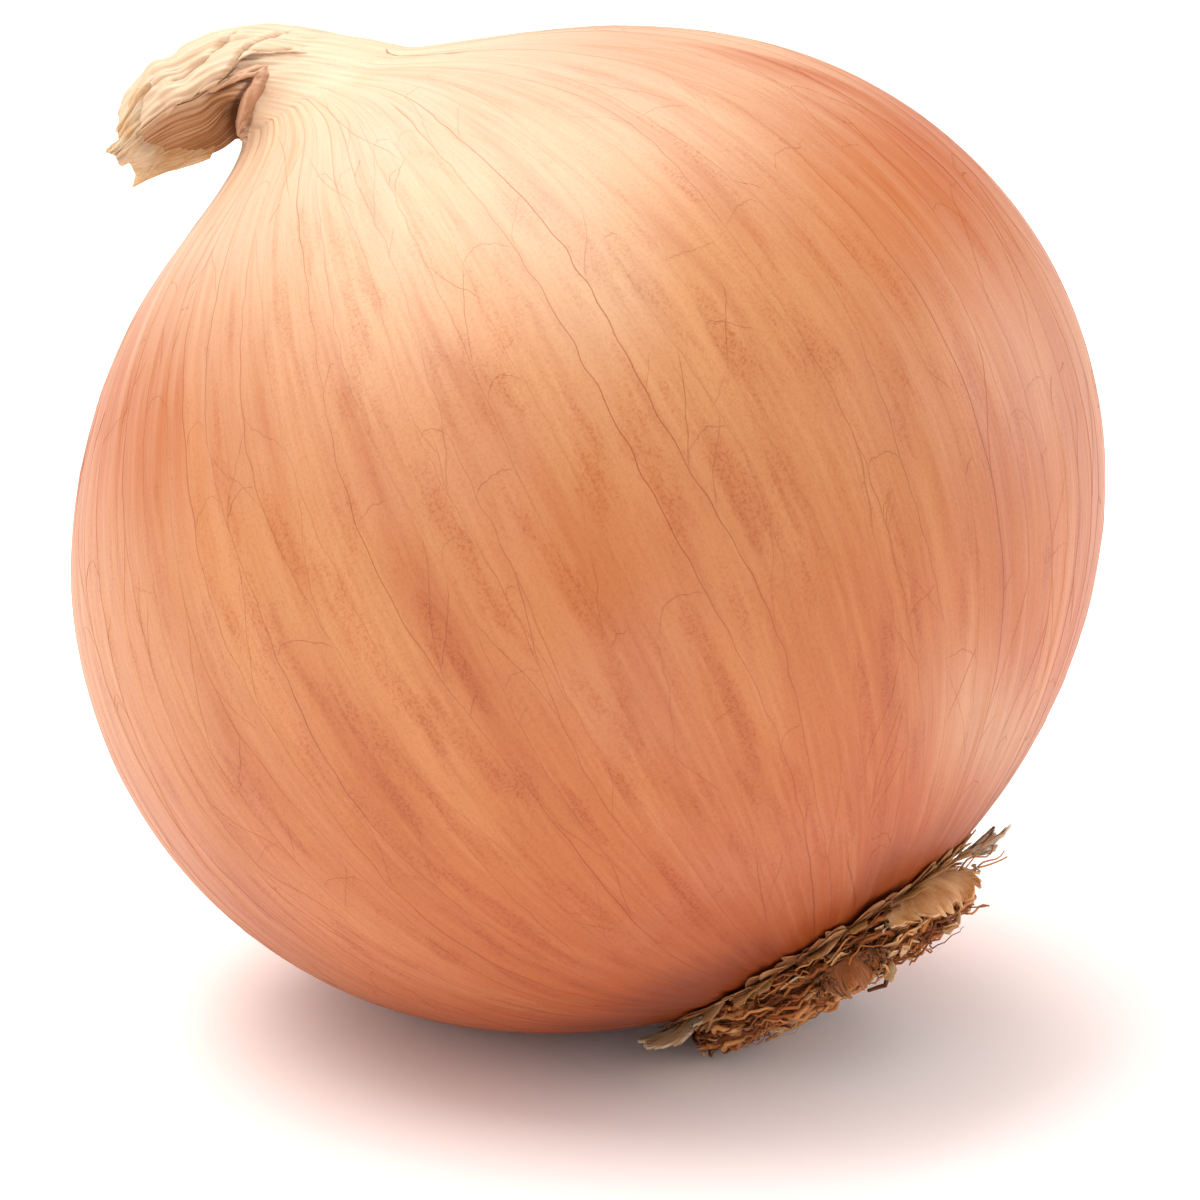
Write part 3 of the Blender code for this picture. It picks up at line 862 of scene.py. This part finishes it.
def make_rim(surface):
    """The outer skin's edge, rolled over round the neck's hollow."""
    made, u, v = sheet_grid("neck_rim", 40, 170)
    past = RIM_PROFILE[-1][0] * u + 0.05 * ripple(v * 5, 0 * v, 6, (1, 7), (0, 1), 97) * u
    turn, way = between_lines(RIM_FOOT, RIM_EDGE, past, v)
    shown = eased(0.0, 0.2, v) * eased(1.0, 0.88, v)
    profile = through(RIM_PROFILE, past)
    wrinkle = 0.07 * ripple(u * 3, v * 30, 12, (1, 5), (0.3, 2.4), 141)
    wrinkle = wrinkle + 0.10 * ripple(0 * u, v * 30, 6, (0, 0), (0.2, 0.9), 143) * u
    height = (profile + wrinkle * eased(0, 0.3, u)) * shown - 0.2 * (1 - shown) - hollow(turn, way)
    # Painted shade in the groove at the rim's foot along its lower arm, and under the roll past its edge
    groove = np.exp(-((past / 0.34) ** 2)) * eased(0.30, 0.5, v)
    down = eased(0.3, 0.5, v)
    shade = 0.32 * groove + 0.10 * down * eased(0.9, 1.1, past)
    tint = np.stack([0.12 + 0 * u, shade, 0.10 + 0.30 * down], -1)
    strand = -1.9 + 0.12 * u
    points = on_skin(turn, way, height)
    add_layer(made, points, strand, NECK_WAY * 0.80 + v * 6, surface, 0.12, tint=tint)


def make_membrane(surface):
    """The pale torn membrane at the neck's tip. Its ragged edge is drawn out to just where it is seen."""
    made, u, v = sheet_grid("neck_membrane", 44, 220)
    turn, way = between_lines(MEMBRANE_IN, MEMBRANE_OUT, u, v)
    rough = 0.16 * ripple(turn, way, 9, (4, 26), (0.2, 1.2), 103)
    points = on_skin(turn, way, 0.34 * eased(0, 0.4, u) + 0.20 * u - 0.20 + rough * (0.1 + 0.9 * u))
    rim_turn, rim_way = between_lines(MEMBRANE_IN, MEMBRANE_OUT, 1.0, v)
    rim = on_skin(rim_turn, rim_way, 0.34)
    at = np.linspace(0, 1, len(MEMBRANE_OUT))
    for axis, aim in ((0, 0), (2, 1)):
        target = np.interp(v, at, [place[aim] for place in MEMBRANE_OUT])
        points[:, axis] += (target - rim[:, axis]) * u**3
    pale = 0.06 + 0.10 * eased(0.9, 0.4, v)
    add_layer(made, points, turn, way, surface, 0.10, pale, slot="husk")


def make_inner_layers(surface):
    """The ends of the layers inside the neck, seen from its tip and from behind."""
    for k, shrink in enumerate((1.0, 0.78, 0.55, 0.32)):
        made, u, v = sheet_grid(f"neck_inner_{k + 1}", 100, 40)
        turn = np.radians(35 + 150 * u) if k == 0 else np.radians(100 * k - 200 + (270 - 20 * k) * u)
        far = END_WAY - 0.2 - 0.35 * k + torn(turn, 107 + 6 * k, 0.7)
        way = END_WAY - 3.0 + (far - END_WAY + 3.0) * v
        height = 0.1 + 0.2 * v + 0.08 * ripple(turn, way, 9, (6, 30), (0.1, 0.9), 131 + k)
        add_layer(made, on_skin(turn, way, height, shrink), turn, way, surface, 0.12)


def make_neck(skin, husk):
    make_neck_flap(skin)
    make_rim(skin)
    make_inner_layers(skin)
    make_membrane(husk)


VEIN_COUNT = 74
VEIN_POINTS = 190
VEIN_LOW = 13.5
VEIN_HIGH = NECK_WAY + 1.5
BRANCH_COUNT = 330
SPUR_COUNT = 150
VEIN_SEED = 21


def main_veins(draw, way):
    """The turns of each vein that runs from the roots to the neck, and then the first one again."""
    mains = []
    for i in range(VEIN_COUNT):
        turn = TAU * (i + draw.uniform(-0.27, 0.27)) / VEIN_COUNT
        sway = sum(
            draw.uniform(0.3, 1.0) * 0.020 * np.cos(way * pace + draw.uniform(0, TAU)) / (1 + 5 * pace)
            for pace in (draw.uniform(0.04, 0.26) for _ in range(4))
        )
        quick = (0.0011 * np.cos(way * draw.uniform(0.7, 2.4) + draw.uniform(0, TAU)) for _ in range(4))
        mains.append(turn + (sway + sum(quick)) * eased(VEIN_HIGH, VEIN_HIGH - 30, way))
    mains.append(mains[0] + TAU)
    return mains


def faded(width, strength):
    """A vein's half widths and strengths, drawn in at both of its ends."""
    from_end = np.minimum(np.arange(len(width)), np.arange(len(width))[::-1])
    fade = np.minimum(1, from_end / 3 + 0.15)
    return width * fade, strength * fade


def link_path(draw, way, mains, whole):
    """A link that bends from one vein to the next, or a spur that stops short of it."""
    t = np.linspace(0, 1, 17)
    i = draw.randrange(VEIN_COUNT)
    start = draw.uniform(20, VEIN_HIGH - 12)
    across = draw.random() < 0.45
    run = draw.uniform(-2.2, 2.2) if across else draw.uniform(4.0, 12.0) * draw.choice((-1, 1, 1))
    arch = draw.uniform(0.2, 1.8) if across else draw.uniform(-0.6, 0.6)
    kinks = 0.16 * np.cumsum([draw.uniform(-1, 1) for _ in t])
    kinks = kinks - kinks[0] - (kinks[-1] - kinks[0]) * t
    reach = 1.0 if whole else draw.uniform(0.3, 0.7)
    ways = start + run * t * reach + arch * np.sin(math.pi * t * reach) + kinks
    ways = np.clip(ways, VEIN_LOW, VEIN_HIGH)
    one, other = np.interp(ways, way, mains[i]), np.interp(ways, way, mains[i + 1])
    share = reach * (t * t * (3 - 2 * t) * 0.6 + t * 0.4)
    strength, width = (np.full(len(t), draw.uniform(*span)) for span in ((0.35, 0.8), (0.055, 0.085)))
    return (one + (other - one) * share, ways), faded(width, strength)


def vein_paths():
    """The veins from the roots to the neck, the links between them, and short spurs."""
    draw = random.Random(VEIN_SEED)
    way = np.linspace(VEIN_LOW, VEIN_HIGH, VEIN_POINTS)
    mains = main_veins(draw, way)
    made = []
    for turn in mains[:-1]:
        part = slice(draw.choice((0, 0, 8, 30)), draw.choice((190, 190, 186, 170)))
        wave = 0.5 + 0.5 * np.cos(way * draw.uniform(0.05, 0.2) + draw.uniform(0, TAU))
        strength = draw.choice((0.25, 0.45, 0.65, 0.9)) * (0.7 + 0.35 * wave)
        width = draw.uniform(0.062, 0.100) * (0.8 + 0.3 * wave)
        made.append(((turn[part], way[part]), faded(width[part], strength[part])))
    made += [link_path(draw, way, mains, k < BRANCH_COUNT) for k in range(BRANCH_COUNT + SPUR_COUNT)]
    return tuple(map(list, zip(*made)))


# Creases of the throat and longer veins below it, as (half width, strength, its places as (x, z))
THROAT_LINES = (
    (
        0.08,
        0.60,
        ((-1.97, 38.54), (-1.63, 36.21), (-1.08, 33.94), (-0.23, 32.22), (0.70, 30.65), (1.65, 28.52)),
    ),
    (0.08, 0.60, ((-5.88, 37.27), (-5.94, 35.52), (-6.51, 33.50), (-7.05, 32.01), (-7.40, 30.23))),
    (0.07, 0.50, ((-4.58, 34.42), (-4.64, 32.66), (-4.41, 31.11), (-3.64, 29.25), (-2.79, 27.54))),
    (
        0.20,
        1.00,
        ((4.27, 38.75), (4.37, 38.21), (5.00, 37.56), (6.19, 36.84), (8.50, 35.60), (10.90, 34.50)),
    ),
)
# The dark sliver low on the left, near the ground
SLIVER_TURN = math.radians(-173)
SLIVER_WAYS = (33.5, 39.5)


def throat_paths():
    """The throat's lines, and the dark sliver low on the left."""
    paths, widths = [], []
    for width, strength, line in THROAT_LINES:
        t = np.linspace(0, len(line) - 1, 60)
        paths.append([through(list(enumerate(values)), t) for values in seen(line)])
        fade = np.clip(np.minimum(t, t[::-1]) + 0.05, 0, 1)
        widths.append((width * fade, strength * fade))
    way = np.linspace(*SLIVER_WAYS, 40)
    paths.append((SLIVER_TURN + 0.02 * np.sin(way), way))
    widths.append((0.75 * np.sin((way - 33) / 7 * math.pi), np.full(40, 1.0)))
    return paths, widths


def make_veins(surface):
    paths, widths = (made + more for made, more in zip(vein_paths(), throat_paths()))
    points, faces, fibres, strengths = skin_lines(paths, widths)
    made = mesh_of("skin_veins", settled(points), faces)
    turn, way = np.arctan2(fibres[:, 1], fibres[:, 0]), fibres[:, 2] * 10
    dress(made, points, turn, way, surface, strengths)
    finish_mesh(made, outward=False)


# Roots and husk

MAT_X = 0.8
MAT_RADIUS = 12.0
MAT_DEPTH = 5.2
MAT_EDGE_RISE = 2.2
CORE_RADIUS = 9.8
ROOT_COUNT = 900
SHRED_COUNT = 120
ROOT_SEED = 33
ROOT_RIM = (10.4, 12.2)
ROOT_BEND_BACK = 0.42
ROOT_RADII = (0.06, 0.08, 0.10, 0.13, 0.17, 0.24, 0.32)
LOOSE_ROOT_RADIUS = 0.13
SHRED_RIM = (11.2, 12.3)
SHRED_SEED = 52
SHRED_HALF_WIDTHS = (0.3, 0.45, 0.7, 1.0)
SHRED_THICKNESS = 0.10 * MM


def bulb_above(x, y, r=0.0):
    """The lowest height that leaves a round of radius r clear under the bulb at these points."""
    out = np.hypot(x - side(ROOT_SEAT_Z), y)
    dome = -BULB_HALF_HEIGHT * np.sqrt(1 - np.minimum(out / BULB_RADIUS, 0.9) ** 2)
    return np.maximum(ROOT_SEAT_Z, dome) - r - 0.1


def ground_below(x, y, r=0.0):
    """The height at which a round of radius r touches the ground at these points."""
    up = np.array(LEAN.inverted() @ Vector((0, 0, 1)))
    return (r + 0.12 - MIDDLE.z / MM - up[0] * x - up[1] * y) / up[2]


def kept_clear(point, r):
    x, y, z = point
    top, low = bulb_above(x, y, r), ground_below(x, y, r)
    return None if low > top else np.array((x, y, min(max(z, low), top)))


def mat_bottom(out):
    return ROOT_SEAT_Z - MAT_DEPTH + MAT_EDGE_RISE * (out / MAT_RADIUS) ** 2


def root_path(draw, radius, rim):
    """A dry root: out of the core, curling in its own layer of the mat, turned back at the rim."""
    bearing, out = draw.uniform(0, TAU), CORE_RADIUS * 1.05 * draw.random() ** 0.3
    x, y = out * math.cos(bearing), out * math.sin(bearing)
    layer = draw.uniform(0.02, 1.0)
    z = ROOT_SEAT_Z - 0.5 - layer * 2.5
    heading = bearing + draw.uniform(-1.6, 1.6)
    turn = draw.choice((-1, 1)) * draw.uniform(0.05, 0.34)
    step, path = draw.uniform(0.45, 0.75), []
    for _ in range(draw.randint(9, 20)):
        out = math.hypot(x, y)
        if out > rim - radius:
            x, y = x * (rim - radius) / out, y * (rim - radius) / out
        clear = kept_clear((x + MAT_X, y, z), radius)
        if clear is None:
            break
        path.append(clear)
        outward = math.cos(heading - math.atan2(y, x)) > 0.1
        if math.hypot(x, y) > rim - 1.2 and outward:
            turn = math.copysign(ROOT_BEND_BACK, turn)
        turn += draw.uniform(-0.12, 0.12)
        heading += turn + draw.uniform(-0.25, 0.25)
        x, y = x + step * math.cos(heading), y + step * math.sin(heading)
        deep = ROOT_SEAT_Z + layer * (mat_bottom(math.hypot(x, y)) - ROOT_SEAT_Z)
        z += (deep - z) * 0.35 + draw.uniform(-0.35, 0.35)
    return path


# Loose root ends past the mat's edge, as (x, y, z) of each start and end
LOOSE_ROOTS = (
    ((9.0, -2.6, -36.6), (15.6, -4.0, -34.9)),
    ((9.4, -0.5, -36.8), (16.2, -1.6, -36.2)),
    ((8.0, -1.6, -37.8), (13.2, -2.6, -39.0)),
    ((8.6, 3.6, -37.0), (14.0, 5.9, -36.4)),
    ((7.0, 6.2, -37.0), (11.0, 9.4, -36.8)),
    ((-0.6, 9.0, -37.0), (-1.4, 12.9, -36.4)),
)


def loose_path(start, end, draw):
    t = np.linspace(0, 1, 16)[:, None]
    sway = draw.uniform(0.3, 0.8) * np.sin(t * math.pi * draw.uniform(1.2, 3.2) + draw.uniform(0, 1))
    kink = draw.uniform(-0.4, 0.4) * np.sin(t * math.pi * 5)
    path = np.array(start) + (np.array(end) - start) * t
    path = path + np.concatenate([0 * t, sway * t, (kink - sway * 0.6) * t], 1)
    return np.array([p for p in (kept_clear(q, 0.15) for q in path) if p is not None])


def make_roots(surface):
    draw = random.Random(ROOT_SEED)
    paths, tones = [], []
    while len(paths) < ROOT_COUNT:
        radius = draw.choice(ROOT_RADII)
        path = root_path(draw, radius, draw.uniform(*ROOT_RIM))
        if len(path) > 4:
            taper = np.linspace(1, draw.uniform(0.2, 0.6), len(path))
            paths.append((np.array(path), radius * taper))
            tones.append(draw.random())
    for start, end in LOOSE_ROOTS:
        for _ in range(2):
            path = loose_path(start, end, draw)
            taper = LOOSE_ROOT_RADIUS * np.linspace(1, 0.45, len(path))
            paths.append((path, taper * draw.uniform(0.7, 1.25)))
            tones.append(draw.uniform(0.3, 0.9))
    points, faces, counts = tubes(paths, 5)
    made = mesh_of("dry_roots", settled(points), faces)
    add_numbers(made, "tone", "FLOAT", np.repeat(tones, counts))
    finish_mesh(made)
    made.data.materials.append(surface)
    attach(made, "root")
    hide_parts("root_mat")


def make_root_core(surface):
    """The lumpy heart of the mat that the roots hide."""
    made, u, v = sheet_grid("root_core", 120, 46)
    turn = u * TAU
    out = CORE_RADIUS * np.interp(v, (0, 0.45, 0.6, 1), (0, 0.96, 1, 0))
    lump = 0.35 * ripple(turn, out, 9, (3, 16), (0.3, 1.6), 41) * np.minimum(1, out / 3)
    x, y = MAT_X + (out + lump) * np.cos(turn), (out + lump) * np.sin(turn)
    top = np.minimum(bulb_above(x, y), ROOT_SEAT_Z - 0.15)
    deep = np.interp(v, (0, 0.45, 0.55, 0.65, 1), (0, 0, 1.2, 2.3, 3.1)) + lump * (v > 0.5) * 0.8
    low = ground_below(x, y)
    set_points(made, settled(np.stack([x, y, np.maximum(top - deep, np.minimum(low, top))], -1)))
    add_numbers(made, "tone", "FLOAT", np.full(len(u), 0.15))
    finish_mesh(made, merge=MERGE_DISTANCE)
    made.data.materials.append(surface)
    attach(made, "root")


# Husk scraps round the mat, as (bearing, half width, foot radius and height, tip radius and height,
# rise from side to side, how pale, seed)
FLAKES = (
    (-163, 15, 11.6, -35.9, 15.9, -35.9, -1.1, 0.16, 1),
    (-40, 26, 11.6, -35.0, 13.4, -37.9, 0.0, 0.0, 2),
    (7, 6, 12.4, -35.0, 16.2, -34.8, 1.0, 0.30, 3),
    (-86, 13, 11.3, -37.0, 12.3, -39.5, 0.0, -0.20, 4),
    (72, 19, 12.0, -35.6, 13.5, -38.2, 0.0, 0.0, 5),
)
FLAKE_THICKNESS = 0.22 * MM


def solidify(made, thickness):
    wall = made.modifiers.new("thickness", "SOLIDIFY")
    wall.thickness = thickness
    wall.offset = 0
    select_only(made)
    bpy.ops.object.modifier_apply(modifier=wall.name)


def finish_scrap(made, surface, thickness):
    """Gives a sheet of husk its thickness, its material and its body."""
    finish_mesh(made, outward=False)
    solidify(made, thickness)
    made.data.materials.append(surface)
    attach(made, "root")


def make_flake(flake, surface):
    """A torn, curled scrap of husk that stands out beside the mat."""
    bearing, half_width, foot_r, foot_z, tip_r, tip_z, twist, pale, seed = flake
    made, u, v = sheet_grid(f"husk_scrap_{seed}", 64, 30)
    across = (u * 2 - 1) * (1 + 0.10 * ripple(v * 4, 0 * v, 6, (1, 5), (0, 1), 70 + seed))
    jag = 0.5 + 0.5 * ripple(across * math.pi, 0 * across, 8, (2, 17), (0, 1), 60 + seed)
    along = v * (1 - 0.34 * np.clip(jag, 0, 1.2)) * (1 - 0.50 * np.minimum(across**2, 1))
    angle = np.radians(bearing + half_width * across * (0.75 + 0.35 * np.sin(math.pi * along)))
    curl = 0.35 * ripple(across * 2, v * 3, 7, (1, 6), (0.2, 1.0), 80 + seed)
    bulge = 0.6 * np.sin(math.pi * along) * (1 - 0.4 * across**2)
    r = foot_r + (tip_r - foot_r) * along + bulge + curl * v
    z = foot_z + (tip_z - foot_z) * along - bulge * 0.5 + 0.4 * curl * v + twist * across * along
    x, y = MAT_X + r * np.cos(angle), r * np.sin(angle)
    z = np.maximum(np.minimum(z, bulb_above(x, y, 0.12)), ground_below(x, y, 0.15))
    set_points(made, settled(np.stack([x, y, z], -1)))
    add_numbers(made, "grain", "FLOAT_VECTOR", np.stack([across * half_width / 5, v, 0 * v + seed], -1))
    add_numbers(made, "pale", "FLOAT", np.full(len(v), pale))
    finish_scrap(made, surface, FLAKE_THICKNESS)
    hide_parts(f"husk_flake_{seed}")


def shred_strip(draw, path, k):
    """The points of a torn strip along a path, three across, and the grain of each."""
    path[:, 2] -= 0.3
    along = unit(np.gradient(path, axis=0))
    across = unit(np.cross(along, (0.3 * draw.uniform(-1, 1), 0.4, 1.0)))
    lift = unit(np.cross(across, along))
    t = np.linspace(0, 1, len(path))
    half = draw.choice(SHRED_HALF_WIDTHS) * np.sin(math.pi * (0.15 + 0.8 * t))
    half = half * (1 + 0.3 * np.sin(t * 17 + k))
    rows = [
        path + across * (half * s)[:, None] + lift * (0.25 * half * (1 - s * s))[:, None]
        for s in (-1, 0, 1)
    ]
    sides = np.tile([-1, 0, 1], len(path)) * 0.3
    grain = np.stack([sides, np.repeat(t, 3), np.full(3 * len(path), k)], -1)
    return np.stack(rows, 1).reshape(-1, 3), grain


def make_shreds(surface):
    """Torn strips of husk caught among the roots."""
    draw = random.Random(SHRED_SEED)
    points, faces, grain = [], [], []
    for k in range(SHRED_COUNT):
        path = root_path(draw, 0.2, draw.uniform(*SHRED_RIM))[: draw.randint(5, 9)]
        if len(path) < 5:
            continue
        faces += strip_faces(sum(map(len, points)), len(path))
        strip, strands = shred_strip(draw, np.array(path), k)
        points.append(strip)
        grain.append(strands)
    points = np.concatenate(points)
    points[:, 2] = np.maximum(points[:, 2], ground_below(points[:, 0], points[:, 1], 0.08))
    made = mesh_of("husk_shreds", settled(points), faces)
    add_numbers(made, "grain", "FLOAT_VECTOR", np.concatenate(grain))
    finish_scrap(made, surface, SHRED_THICKNESS)


COLLAR_COUNT = 150
COLLAR_SEED = 58
COLLAR_ACROSS = 5
COLLAR_ALONG = 6
COLLAR_THICKNESS = 0.07 * MM


def make_collar(surface):
    """Torn scales under the bulb, that close the gap between its skin and the roots."""
    draw = random.Random(COLLAR_SEED)
    across, along = np.linspace(-1, 1, COLLAR_ACROSS), np.linspace(0, 1, COLLAR_ALONG)
    a, b = (grid.ravel() for grid in np.meshgrid(across, along))
    points, faces, grain, pale = [], [], [], []
    for k in range(COLLAR_COUNT):
        bearing, half = draw.uniform(0, TAU), draw.uniform(0.05, 0.16)
        wide = 1 - draw.uniform(0.5, 0.95) * b ** draw.uniform(1.0, 2.5)
        r = 10.8 + draw.uniform(1.5, 3.6) * b
        angle = bearing + half * a * wide + draw.uniform(-0.08, 0.08) * b
        x, y = MAT_X + r * np.cos(angle), r * np.sin(angle)
        droop = draw.choice((0.0, 0.1, 0.3, 1.0)) * b**1.5 + 0.06 * a * a - draw.uniform(0.0, 0.10)
        z = np.maximum(bulb_above(x, y) - droop, ground_below(x, y, 0.06))
        points.append(np.stack([x, y, z], -1))
        grain.append(np.stack([a * half * 12, b * 2, 0 * a + k], -1))
        pale.append(0 * a + draw.uniform(-0.34, -0.08))
        for i in range(COLLAR_ALONG - 1):
            for j in range(COLLAR_ACROSS - 1):
                corner = len(a) * k + COLLAR_ACROSS * i + j
                beyond = corner + COLLAR_ACROSS
                faces.append((corner, corner + 1, beyond + 1, beyond))
    made = mesh_of("husk_collar", settled(np.concatenate(points)), faces)
    add_numbers(made, "grain", "FLOAT_VECTOR", np.concatenate(grain))
    add_numbers(made, "pale", "FLOAT", np.concatenate(pale))
    finish_scrap(made, surface, COLLAR_THICKNESS)


def make_root_material():
    """Dry root: brown to straw, root by root, with a fine mottle."""
    made, shader = start_material("dry_root")
    tone = attribute("tone")
    place = place_on_piece()
    mottle = noise(place, 900.0, 4.0, 0.6)
    colour = ramp(ROOT_TONES, tone * 0.8 + mottle * 0.35 - 0.08)
    Wire.put(shader.inputs["Base Color"], colour)
    Wire.put(shader.inputs["Roughness"], mottle * 0.3 + 0.55)
    Wire.put(shader.inputs["Normal"], bump(noise(place, 2400.0, 3.0, 0.6), 0.5, 0.0002))
    shader.inputs["Specular IOR Level"].default_value = 0.3
    return made


def make_husk_material():
    """Thin dry husk: strands of brown to straw that let a little light through."""
    made, shader = start_material("pale_husk")
    grain = attribute("grain", "Vector")
    place = place_on_piece()
    strands = noise(stretched(grain, (13.0, 1.6, 1.0)), 1.0, 4.0, 0.65, 0.4)
    cloud = noise(place, 420.0, 4.0, 0.6)
    colour = ramp(HUSK_TONES, strands * 0.45 + cloud * 0.55 + attribute("pale"))
    Wire.put(shader.inputs["Base Color"], colour)
    Wire.put(shader.inputs["Roughness"], cloud * 0.2 + 0.55)
    Wire.put(shader.inputs["Alpha"], 1 - attribute("pale").math("MAXIMUM", 0.0))
    Wire.put(shader.inputs["Normal"], bump(strands, 0.6, 0.0003))
    shader.inputs["Subsurface Weight"].default_value = 0.35
    shader.inputs["Subsurface Radius"].default_value = (1.0, 0.75, 0.5)
    shader.inputs["Subsurface Scale"].default_value = 0.002
    return made


# Studio


FLOOR_WIDTH = 6
# Slightly pink, so the shadow under the onion takes a painted warm cast of light bounced off its skin,
# while the lit floor is lit past white
FLOOR_COLOUR = (0.985, 0.915, 0.895, 1)
# Lights, as (name, place, size, power, colour)
LIGHTS = (
    ("key_light", (-0.28, 0.18, 0.94), (1.3, 0.8), 14.3, (1.0, 0.985, 0.96)),
    ("left_side", (-0.93, 0.35, 0.15), (0.7, 0.7), 0.3, (1, 1, 1)),
    ("right_side", (0.93, 0.40, 0.15), (0.7, 0.7), 4.0, (1, 1, 1)),
    ("low_front", (0.10, -0.95, 0.12), (1.8, 0.4), 1.3, (1, 1, 1)),
)


def make_floor():
    made, u, v = sheet_grid("floor", 2, 2)
    set_points(made, np.stack([(u - 0.5) * FLOOR_WIDTH, (v - 0.5) * FLOOR_WIDTH, np.zeros_like(u)], -1))
    surface, shader = start_material("pale_floor")
    shader.inputs["Base Color"].default_value = FLOOR_COLOUR
    shader.inputs["Roughness"].default_value = 0.9
    shader.inputs["Specular IOR Level"].default_value = 0.1
    made.data.materials.append(surface)


def area_light(name, place, size, power, colour):
    """A rectangular light that faces the onion."""
    lamp = bpy.data.lights.new(name, "AREA")
    lamp.shape = "RECTANGLE"
    lamp.size, lamp.size_y = size
    lamp.energy = power
    lamp.color = colour
    made = add_object(name, lamp)
    made.location = place
    made.rotation_euler = (MIDDLE - Vector(place)).to_track_quat("-Z", "Y").to_euler()


def make_light():
    for light in LIGHTS:
        area_light(*light)
    world = bpy.data.worlds.new("studio")
    bpy.context.scene.world = world
    world.use_nodes = True
    world.node_tree.nodes["Background"].inputs["Color"].default_value = (1, 1, 1, 1)
    world.node_tree.nodes["Background"].inputs["Strength"].default_value = 1.0
    bpy.context.scene.view_settings.view_transform = "Standard"


CAMERA_ELEVATION = math.radians(18)
CAMERA_DISTANCE = 600 * MM
CAMERA_LENS = 240
CAMERA_SENSOR = 36
LOOK_RIGHT = 1.23 * MM
LOOK_UP = -5.15 * MM


def make_camera():
    """The camera at the photograph's angle, aimed a little below the onion's middle."""
    up = Vector((0, math.sin(CAMERA_ELEVATION), math.cos(CAMERA_ELEVATION)))
    back = Vector((0, -math.cos(CAMERA_ELEVATION), math.sin(CAMERA_ELEVATION)))
    target = MIDDLE + Vector((LOOK_RIGHT, 0, 0)) + up * LOOK_UP
    lens = bpy.data.cameras.new("camera")
    lens.lens = CAMERA_LENS
    lens.sensor_width = CAMERA_SENSOR
    lens.clip_start = 0.01
    made = add_object("camera", lens)
    made.location = target + back * CAMERA_DISTANCE
    made.rotation_euler = Euler((math.pi / 2 - CAMERA_ELEVATION, 0, 0))
    bpy.context.scene.camera = made


def main():
    make_camera()
    make_light()
    make_floor()
    skin, root, husk = make_skin_material(), make_root_material(), make_husk_material()
    make_skin(skin)
    make_veins(skin)
    make_neck(skin, husk)
    make_root_core(root)
    make_roots(root)
    make_shreds(husk)
    make_collar(husk)
    for flake in FLAKES:
        make_flake(flake, husk)


main()
